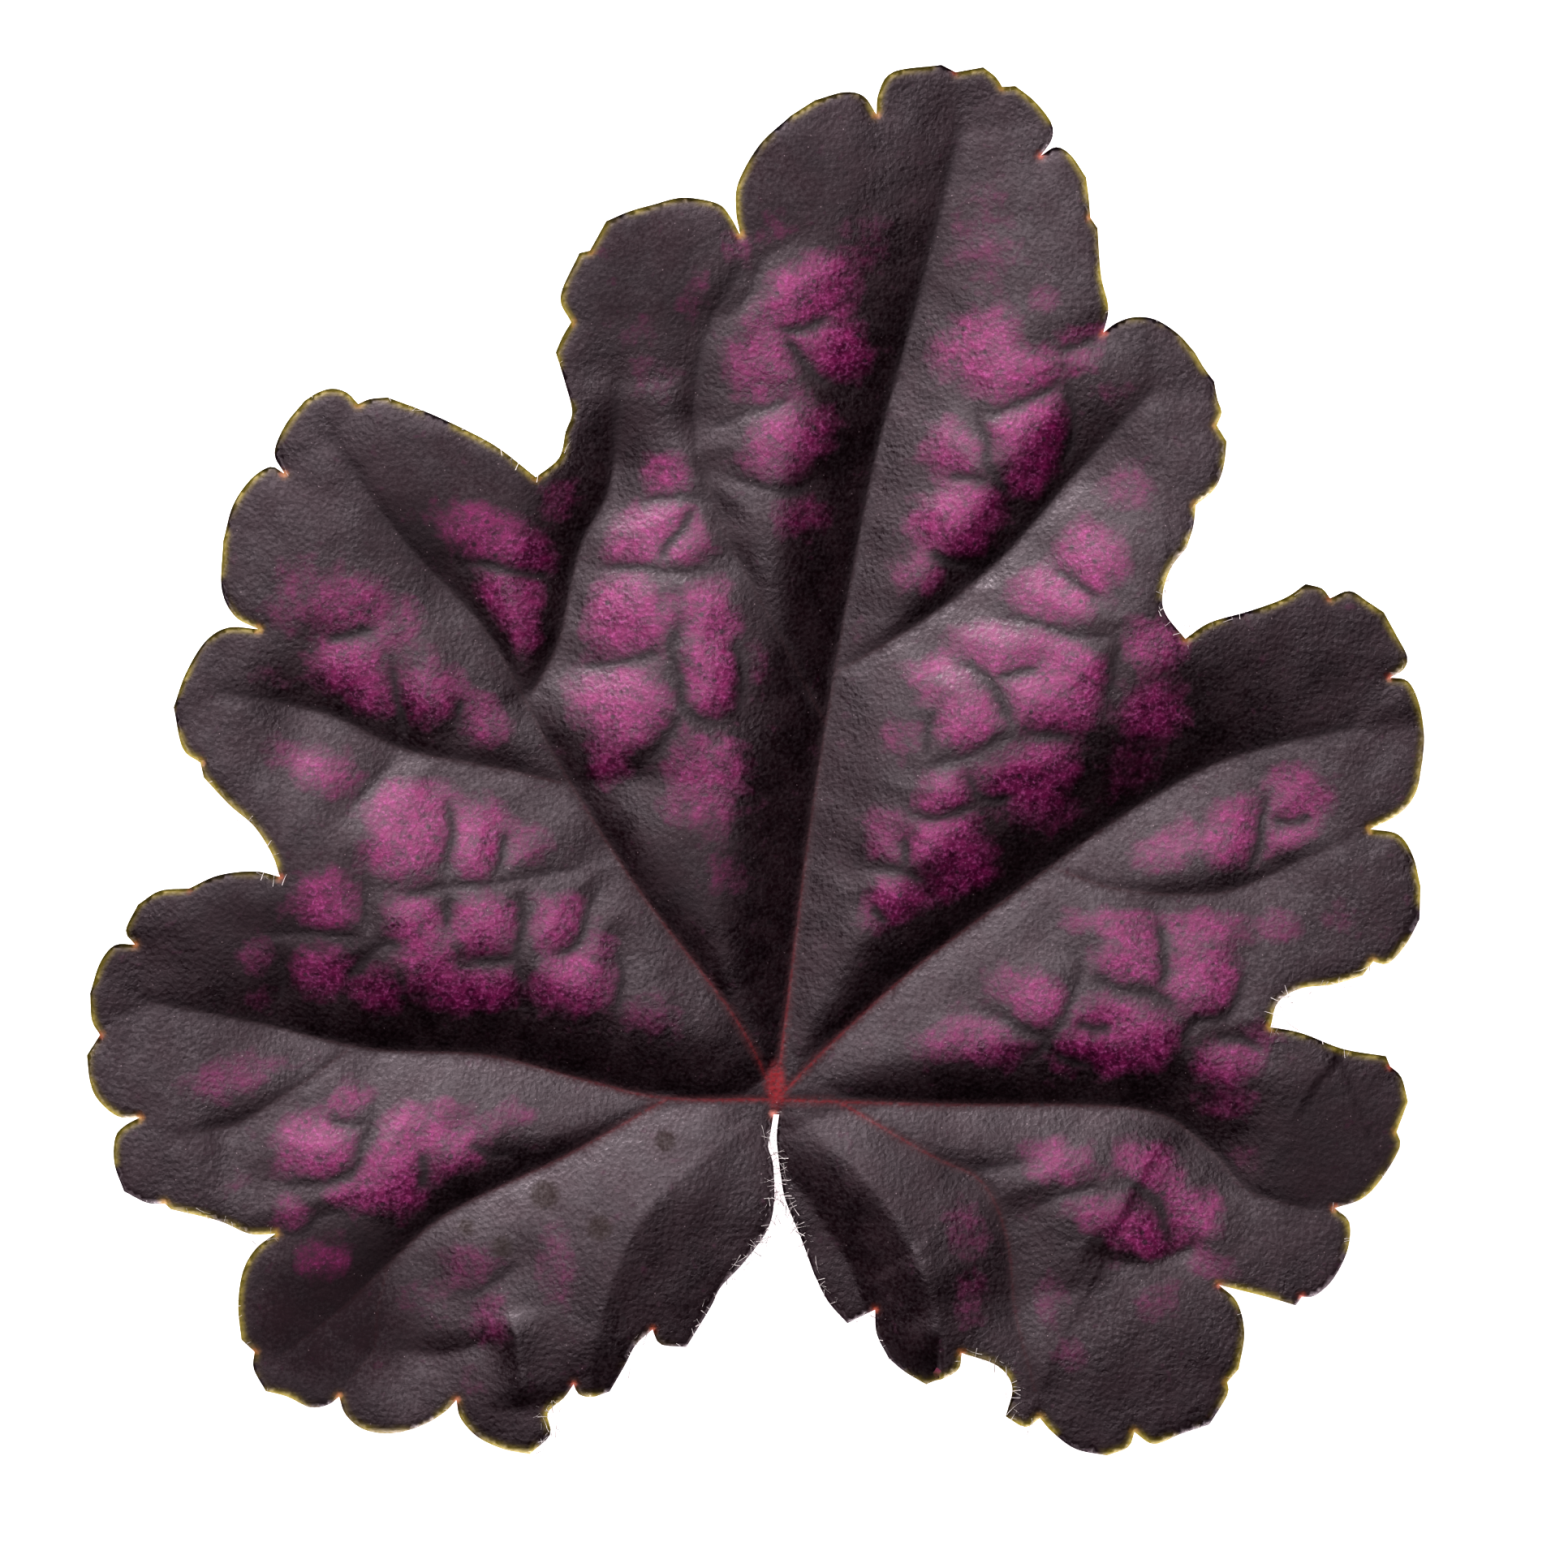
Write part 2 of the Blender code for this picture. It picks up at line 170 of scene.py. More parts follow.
# Colours of the skin and the hairs, in linear light
NIGHT_PURPLE = (0.010, 0.001, 0.0042, 1.0)
BROWN_NIGHT = (0.018, 0.0034, 0.0078, 1.0)
# Near black for the dark dots and for the vein lines, which are partly painted shade in the vein creases.
DOT_VEIN_AND_CREASE_SHADE_BLACK = (0.009, 0.002, 0.005, 1.0)
MAGENTA = (0.215, 0.010, 0.104, 1.0)
PALE_MAGENTA = (0.42, 0.08, 0.27, 1.0)
DEEP_MAGENTA = (0.075, 0.002, 0.036, 1.0)
CRIMSON = (0.30, 0.005, 0.014, 1.0)
OLIVE = (0.38, 0.30, 0.045, 1.0)
NOTCH_ORANGE = (0.50, 0.12, 0.07, 1.0)
BLOTCH_BROWN = (0.030, 0.018, 0.013, 1.0)
UNDER_WINE = (0.17, 0.028, 0.07, 1.0)
UNDER_RIB = (0.34, 0.09, 0.10, 1.0)
SPECK_PALE = (0.30, 0.22, 0.24, 1.0)
SHEEN_TINT = (1.0, 0.88, 0.94, 1.0)
HAIR_WHITE = (0.82, 0.78, 0.76, 1.0)
HAIR_PINK = (0.62, 0.52, 0.54, 1.0)

# The margin as runs from one corner to the next, where a corner is a notch between
# two teeth, a small point on a tooth, or the bottom of a gap between two lobes.
# It starts at the stalk, goes down the left basal lobe and round by the top.
LEFT_BASAL_LOBE = [
    [(-0.15, -0.9), (-0.32, -2), (-0.47, -2.9), (-0.18, -3.9), (-0.1, -6.2),
     (-0.54, -8), (-2, -10), (-3.4, -11.5), (-4, -12.7)],
    [(-5.5, -15.15), (-7, -15), (-7.4, -14.5)],
    [(-7.55, -14.05), (-8.6, -15), (-9.27, -16.26)],
    [(-10.2, -17.87), (-11.3, -18.2), (-12.1, -18)],
    [(-12.4, -17.4), (-13, -18.25), (-14, -19.2), (-13.85, -20.5)],
    [(-15.1, -21.7), (-16.7, -21.4), (-18.3, -20.66), (-19.35, -19.5)],
    [(-19.6, -18.4), (-20.4, -19.2), (-21.8, -20), (-23.6, -20.45), (-25.3, -20.2), (-26.4, -19.3)],
    [(-26.8, -18.2), (-27.5, -18.7), (-28.6, -18.85), (-30, -18.2)],
    [(-31.3, -17.87), (-32.05, -16.5)],
    [(-32, -15.45)],
    [(-32.8, -14.7), (-33, -12.6), (-32.7, -10.5), (-31.9, -9.1)],
]
LEFT_LOBE = [
    [(-30.7, -8.2), (-32.3, -8.2), (-34.2, -7.4)],
    [(-37.1, -6.7)],
    [(-37.5, -6.35), (-38.6, -6.3)],
    [(-40, -5.6), (-40.6, -3.9), (-40.55, -2.3), (-40, -1.6)],
    [(-39.05, -1.07), (-40.4, -1), (-41.6, 0), (-42.1, 1.1)],
    [(-42.3, 2.74)],
    [(-41.5, 4), (-42, 4.9)],
    [(-42.1, 6.55), (-41.5, 8.4), (-40.6, 9.5)],
    [(-39.35, 9.55), (-39.9, 10.4)],
    [(-39.15, 12), (-37.8, 12.85)],
    [(-36, 13), (-34.2, 13.8), (-32, 14.05)],
]
UPPER_LEFT_LOBE = [
    [(-30.4, 13.7), (-30.9, 15.1), (-32, 16.8), (-33.5, 18.1)],
    [(-35.1, 19.8)],
    [(-35.3, 20.7), (-36.4, 21.6)],
    [(-36.95, 24.1), (-36.2, 26.2), (-35, 28.15), (-33.6, 29)],
    [(-31.75, 28.9), (-33.2, 29.7), (-34, 31.4)],
    [(-33.9, 34.3), (-33.3, 36.5), (-32.2, 38.1), (-31, 38.86)],
    [(-30.16, 38.45), (-30.75, 39.7), (-30.1, 41.4)],
    [(-28.9, 42.9), (-28.1, 43.4), (-27.2, 43.65), (-26.3, 43.4)],
    [(-25.6, 42.7), (-24.9, 43)],
    [(-23.8, 43.1), (-21.4, 42.2), (-19, 41.1), (-17, 40)],
]
TOP_LOBE = [
    [(-14.7, 38.2), (-13.3, 39.4), (-12.9, 41), (-12.5, 42.2), (-12.9, 43.9)],
    [(-13.5, 45.86), (-13.1, 46.8)],
    [(-12.56, 47.7), (-13.2, 49.3)],
    [(-12.05, 51.95)],
    [(-11.4, 52.1)],
    [(-10.4, 53.9), (-9, 54.5), (-7.6, 54.9), (-5.7, 55.35), (-3.6, 55), (-2.8, 54.2)],
    [(-2.2, 53.1), (-2.45, 54.6), (-2.3, 56.3), (-1, 58.6)],
    [(0.92, 60.4)],
    [(2.4, 61.35), (4.2, 61.85), (5.4, 61.6)],
    [(6.17, 60.5), (6.3, 61.8), (7.2, 63.1)],
    [(10.16, 63.55)],
    [(11.04, 63.1)],
    [(12.73, 63.4), (13.5, 62.8)],
    [(13.9, 62.2)],
    [(14.7, 62.25), (15.9, 61.3), (16.9, 60), (16.95, 59)],
    [(16.25, 57.96), (17.2, 58.5), (18.1, 58)],
    [(19.04, 56.64), (19.2, 55.4)],
    [(19.3, 54.15)],
    [(19.74, 53.5), (19.95, 50.6), (20.4, 48.6)],
    [(20.1, 47.1), (20.9, 47.7), (22, 48.05), (23.3, 47.9), (24.7, 47)],
    [(25.7, 45.9), (26.3, 44.9)],
    [(26.9, 44.1), (27.1, 43), (27.35, 42.2)],
    [(27.05, 41.4)],
    [(27.66, 40.4), (27.45, 38.8), (26.9, 37.5)],
    [(25.75, 36.5), (25.6, 35.2)],
    [(25.18, 33.9), (24.2, 32.6), (23.7, 31), (23.9, 29.8)],
]
UPPER_RIGHT_LOBE = [
    [(25.1, 28.3), (26.6, 29.3), (29, 30), (31.2, 30.8)],
    [(32.5, 31.67), (33.5, 31.4)],
    [(34, 30.8), (35.2, 31.25), (36.3, 30.6)],
    [(37.3, 29.94), (38.1, 28.5), (38.75, 27.2), (38.5, 26.4)],
    [(37.7, 25.94), (38.8, 25.7), (39.5, 24.3), (39.8, 22.4)],
    [(39.7, 20.85), (39.3, 18.9), (38.3, 17.6)],
    [(36.5, 16.63), (38.2, 16.3), (39.1, 15)],
    [(39.57, 13.1)],
    [(39.5, 11.1), (38.7, 9.6), (37.6, 8.4)],
    [(36.65, 8.5)],
    [(36, 7.65), (34.2, 7.1), (32.2, 6.85), (30.8, 6)],
]
RIGHT_LOBE = [
    [(30.35, 4.5), (32.3, 4.1), (34.8, 3.15)],
    [(37.45, 2.7)],
    [(37.7, 2.08), (38.4, 1.4)],
    [(38.8, -0.1)],
    [(38.1, -1.95), (38.3, -2.9), (37.2, -4.8), (36, -6.05)],
    [(34.3, -6.65), (35.2, -7.5), (35.1, -9.2), (34.2, -11), (33.1, -12)],
    [(32.3, -12.07)],
    [(31.9, -12.6), (30.2, -12.1)],
]
RIGHT_BASAL_LOBE = [
    [(27.2, -11.35), (28.3, -12.4), (28.75, -14.3)],
    [(28.4, -16.5)],
    [(27.7, -17.3), (27.7, -18.1)],
    [(26.6, -19.9), (24.8, -20.5), (23.2, -21.1)],
    [(22, -20.37), (21.6, -21.3)],
    [(20.3, -21.8), (18.4, -21.4), (17, -20.4)],
    [(16.2, -19.5), (15.3, -20.05)],
    [(14.1, -19.4), (14.5, -17.6), (13.6, -16.3)],
    [(11.4, -15.5), (11.1, -16.6)],
    [(9.24, -17.5), (7.9, -16.7)],
    [(6.94, -15.9), (6.2, -14.4)],
    [(6.1, -12.9)],
    [(4.4, -13.75), (3.2, -12.4)],
    [(2.36, -10.75), (1.5, -8.4), (0.6, -6.2), (0.32, -4.8), (0.15, -3.5), (0.05, -2.2), (0.2, -0.9)],
]
MARGIN = (LEFT_BASAL_LOBE + LEFT_LOBE + UPPER_LEFT_LOBE + TOP_LOBE
          + UPPER_RIGHT_LOBE + RIGHT_LOBE + RIGHT_BASAL_LOBE)

# Main veins, which start at the stalk
MAIN_VEINS = {
    "top": [(0, 0), (0.95, 7.7), (1.7, 13.7), (2.6, 20), (4.3, 30), (6.3, 40),
            (9, 50), (11.3, 59.5)],
    "upper_left": [(0, 0), (-1.6, 3.5), (-3.6, 6.6), (-8.5, 13), (-13.2, 20.4), (-17.8, 28.7),
                   (-22.8, 34.2), (-27.2, 40.5)],
    "left": [(0, 0), (-6.8, 0.1), (-11.8, 1.2), (-17.8, 2.7), (-25, 3.1), (-32, 4.7),
             (-38.5, 6)],
    "upper_right": [(0, 0), (4.2, 4.2), (8.7, 8.2), (14.7, 12.7), (22.2, 18), (28, 21),
                    (35.4, 22.8)],
    "right": [(0, 0), (9.7, -0.3), (22.2, -0.6), (26.5, -3), (29, -5.6), (32.6, -6.7)],
}

# Side veins, which leave a main vein: their valleys are a little higher and narrower
SIDE_VEINS = {
    "top_left": [(3.1, 23), (0.2, 28.5), (-3.4, 35.5), (-4.95, 41.7), (-4.2, 47.1), (-2.3, 50.8)],
    "top_right": [(3.6, 26.2), (9, 29.4), (13.8, 33.2), (18.7, 38.7), (23, 43.5)],
    "upper_left_outer": [(-13.3, 19.5), (-17.8, 20.5), (-22.8, 21.5), (-27.8, 23.7), (-34, 25)],
    "upper_left_inner": [(-14.8, 25.2), (-13.2, 28.5), (-12, 33.9), (-10.1, 37.9), (-9.6, 44)],
    "left_lower": [(-26.3, 3.1), (-28.2, 1.6), (-30.5, 0.1), (-33.2, -1.5), (-36.8, -2.1)],
    "left_basal": [(-6.8, 0), (-13, -3.5), (-20, -6.9), (-23.8, -10.1), (-26.6, -12.8),
                   (-30.2, -15.6)],
    "left_basal_inner": [(-23.8, -10.1), (-24.5, -13), (-24.7, -15.4), (-26.2, -17.2)],
    "upper_right_lower": [(17.2, 14.2), (21.2, 12.9), (27.3, 12.7), (32, 14.6), (35.2, 16.2)],
    "right_basal": [(4, -0.2), (9.5, -3.4), (12.6, -5), (14.2, -8.5), (14.7, -13), (15.9, -17.8)],
}

# The valleys that differ from a plain one: height of the floor at the vein's start and at
# its end, and shares of the plain gentle and steep slopes
VALLEYS = {
    "top": (0, 0, 1, 1.14), "upper_left": (1, 1.1, 0.45, 1.3), "top_left": (1.9, 1.2, 0.6, 0.7),
    "upper_right": (0, 0, 0.68, 1), "left": (0, 0, 0.82, 1),
    "top_right": (0.55, 0.55, 0.85, 1), "upper_left_outer": (0.9, 0.7, 0.55, 0.8),
    "upper_left_inner": (0.9, 0.6, 0.8, 1.1), "left_lower": (0.9, 0.9, 0.45, 0.7),
    "left_basal": (0.35, 0.5, 0.9, 1.1), "left_basal_inner": (0.8, 0.8, 0.5, 0.5),
    "upper_right_lower": (0.9, 0.8, 0.45, 0.7), "right_basal": (0.7, 0.7, 0.45, 0.5),
}

# Crests along which the basal lobes turn down towards the gap between them: how steeply
# the blade falls beyond the line, and the line
CRESTS = [
    (0.09, [(-1.6, -1.6), (-5, -4), (-8.5, -7.6), (-10.2, -11.6), (-11, -14.5)]),
    (0.45, [(1.6, -1.2), (4.9, -4), (8, -8), (9.7, -12), (10, -14)]),
]

# Shallow valleys and crests that start and end inside the blade
SMALL_FOLDS = [
    [(-24.3, -15.3), (-20.5, -15.6), (-18, -15), (-16, -14.5)],
    [(18.8, -8.9), (20.4, -9.8), (22.6, -10.1), (24.8, -9.4), (27, -8.4)],
]
SMALL_CRESTS = [[(-16.2, -12.6), (-15.7, -15.6), (-15.3, -19)]]

# Small veins, by the part of the blade that they cross
SMALL_VEINS = [
    # top lobe, left of its main vein
    [(-4.4, 47.9), (-3, 48.2), (-1.6, 49.6), (-0.8, 51.5), (1.2, 52.8)],
    [(-0.3, 47.4), (1.2, 47.2), (2.4, 47.6), (3.6, 48.3)],
    [(0.4, 47.2), (1.3, 45.8), (2.3, 44.4), (3.6, 43.6)],
    [(-4.6, 41.4), (-3.2, 41.5), (-1.8, 42.2), (-0.3, 42.5), (1.4, 43.3)],
    [(-3.6, 38.6), (-1, 37.6), (1, 37.3), (3, 38.4)],
    [(-8.8, 36.6), (-6.8, 37), (-4.6, 36.9), (-3.4, 36.2)],
    [(-4.9, 36.7), (-5.8, 34.9), (-6.7, 34), (-7.2, 32.6)],
    [(-11.8, 32.6), (-9, 32.7), (-6, 32.4), (-3.4, 32.6)],
    [(-12.4, 26.6), (-10.4, 26.7), (-8.4, 27.1), (-6.5, 27.6)],
    [(-6.2, 30.6), (-6, 29), (-6.4, 27.6), (-5.9, 25.8), (-5.6, 24), (-4.4, 23.2), (-2.4, 23.3)],
    [(-7.9, 20.6), (-6.7, 22.1), (-5.7, 23.8)],
    [(-3, 28.4), (-2.2, 27.2), (-2, 25.2), (-2.4, 23.4)],
    # top lobe, right of its main vein
    [(12.2, 43), (12.4, 41.6), (13, 40.2), (12.9, 39), (13.8, 37.8), (14.4, 36.6)],
    [(12.4, 41.7), (14, 42.4), (16, 43.2), (18, 44.2)],
    [(10.2, 38.2), (12, 38.2), (13.4, 37.9)],
    [(9.2, 33.7), (10.6, 33), (12.4, 32.6)],
    [(17.2, 46), (18.6, 46.3), (20, 46.9)],
    [(17.6, 44.4), (18.3, 42.6), (18.2, 40.4), (17.4, 38.6)],
    [(16.6, 32.9), (17.8, 32.2), (19.2, 31.2), (20.4, 30.6)],
    [(12.6, 29.9), (14.4, 29.6), (16.4, 29.2), (18.4, 28.5), (20.4, 28.4), (21.6, 27.9)],
    [(21, 28.4), (20.8, 26.4), (20.4, 24.4)],
    [(10.4, 27), (12, 26.6), (13, 25.9), (13.7, 24.8), (14.2, 23.6), (14.8, 22.6)],
    [(13.2, 25.8), (14.6, 26.2), (16.4, 26.5)],
    [(14.8, 22.6), (16.6, 22.4), (18.4, 22.3)],
    [(14.8, 22.6), (13.2, 21.8), (11.8, 21.1), (10.2, 20.7), (8.6, 20.5)],
    [(9.7, 24), (9.3, 22.4), (9.4, 20.6)],
    [(11.6, 20.6), (12, 19.4), (12.6, 18.5), (13.8, 18.4), (15, 18.9)],
    [(8, 17.7), (9.6, 17.3), (11, 17.6), (12.5, 18.4)],
    [(7.9, 16.4), (8, 14)],
    [(5, 14.1), (6.8, 14.2), (8.2, 13.9), (9.4, 13.1)],
    [(5.8, 12), (6.8, 10.7)],
    # upper left lobe
    [(-20, 32.6), (-18, 32.9), (-15.6, 32.3), (-13.2, 32)],
    [(-27.8, 28.2), (-25.9, 28.6), (-24.4, 29)],
    [(-23.6, 27.6), (-23.3, 25), (-22.9, 23), (-22.6, 21.6)],
    [(-19.3, 24.8), (-19.6, 22.8)],
    [(-23.1, 21.5), (-24, 20.3), (-25.2, 18.9), (-26.4, 17.6)],
    [(-20.4, 19), (-19.8, 16.6), (-20.2, 14.8), (-20.1, 13)],
    [(-16.5, 16.8), (-16.8, 14.9), (-17.2, 13.3)],
    [(-24.4, 12.8), (-22, 12.7), (-20, 13.1), (-17.4, 13.3), (-14.6, 13.8), (-12.4, 14.2),
     (-10.4, 15.2)],
    [(-20.1, 13), (-20.2, 10.2)],
    [(-15.6, 13.5), (-15.4, 11.2), (-15.8, 8.8), (-15.2, 6.4)],
    [(-19.2, 8.7), (-17.2, 8.5), (-15.6, 8.7)],
    [(-14.4, 8.9), (-12.6, 9.2), (-11.8, 10.2), (-11.5, 11.6), (-10.6, 13.4)],
    [(-9.8, 9.6), (-9.3, 7.6), (-9.9, 5)],
    # left lobe
    [(-24.8, 14), (-25.1, 12), (-25, 9.9)],
    [(-31.6, 10.2), (-28.2, 10.2), (-25, 9.9)],
    [(-26.6, 7.2), (-25.4, 8.4), (-23.8, 9.6), (-22.6, 9.2)],
    [(-30.6, 9.2), (-30.2, 7.4), (-30.6, 5.8)],
    [(-24.9, 1.2), (-24.7, -0.8), (-25.3, -2.6), (-26, -4.4), (-28.4, -5.2), (-31.2, -5)],
    [(-27.8, -1.1), (-26, -1.5), (-24.6, -1.2)],
    [(-21.9, -3), (-21.5, -4.4), (-22, -5.6)],
    [(-19, -2.4), (-17.4, -3.4), (-15.8, -3.2)],
    [(-26.2, -6.8), (-28, -7.2), (-28.9, -8.2), (-30.4, -8.4)],
    # basal lobes
    [(-20.6, -11.6), (-18.6, -11.9), (-17, -11), (-15.4, -10)],
    [(20.2, -5.4), (21.6, -5), (22.8, -5.8), (23.6, -6.6), (23.9, -8), (24.2, -9.2)],
    [(15.6, -6.8), (17.4, -5.8), (19.4, -5.4), (20.6, -5)],
    [(15.8, -3.6), (13, -4.2), (11.4, -4.4)],
    # upper right and right lobes
    [(30.4, 19.4), (29.9, 17.4), (29.7, 15.6), (28.9, 13.7)],
    [(30.2, 17.3), (31.6, 17), (33.2, 17.4)],
    [(23.4, 11.4), (23.8, 9.6), (23.9, 7.8), (23.4, 6.4)],
    [(19, 7.6), (20.4, 7.1), (21.8, 6.7), (23.6, 6.3), (24.8, 5.3)],
    [(17, 9.6), (18.6, 8.6), (18.6, 7.4), (18.1, 6), (17.4, 4.6), (16.6, 3.7)],
    [(12, 5.9), (13.8, 5.1), (15.2, 4.3), (16.6, 3.7), (16, 2.8), (14.6, 2.3)],
    [(18.2, 4.9), (19.4, 4.4), (20.8, 4.5)],
    [(16.8, 3), (18.2, 2.3), (19.8, 2.1)],
    [(28.8, 8.6), (28.5, 6.6), (27.6, 5), (26, 4.8), (25.2, 4), (25.2, 2)],
    [(26.6, 3.9), (28.4, 3.8), (29.9, 3.1)],
]

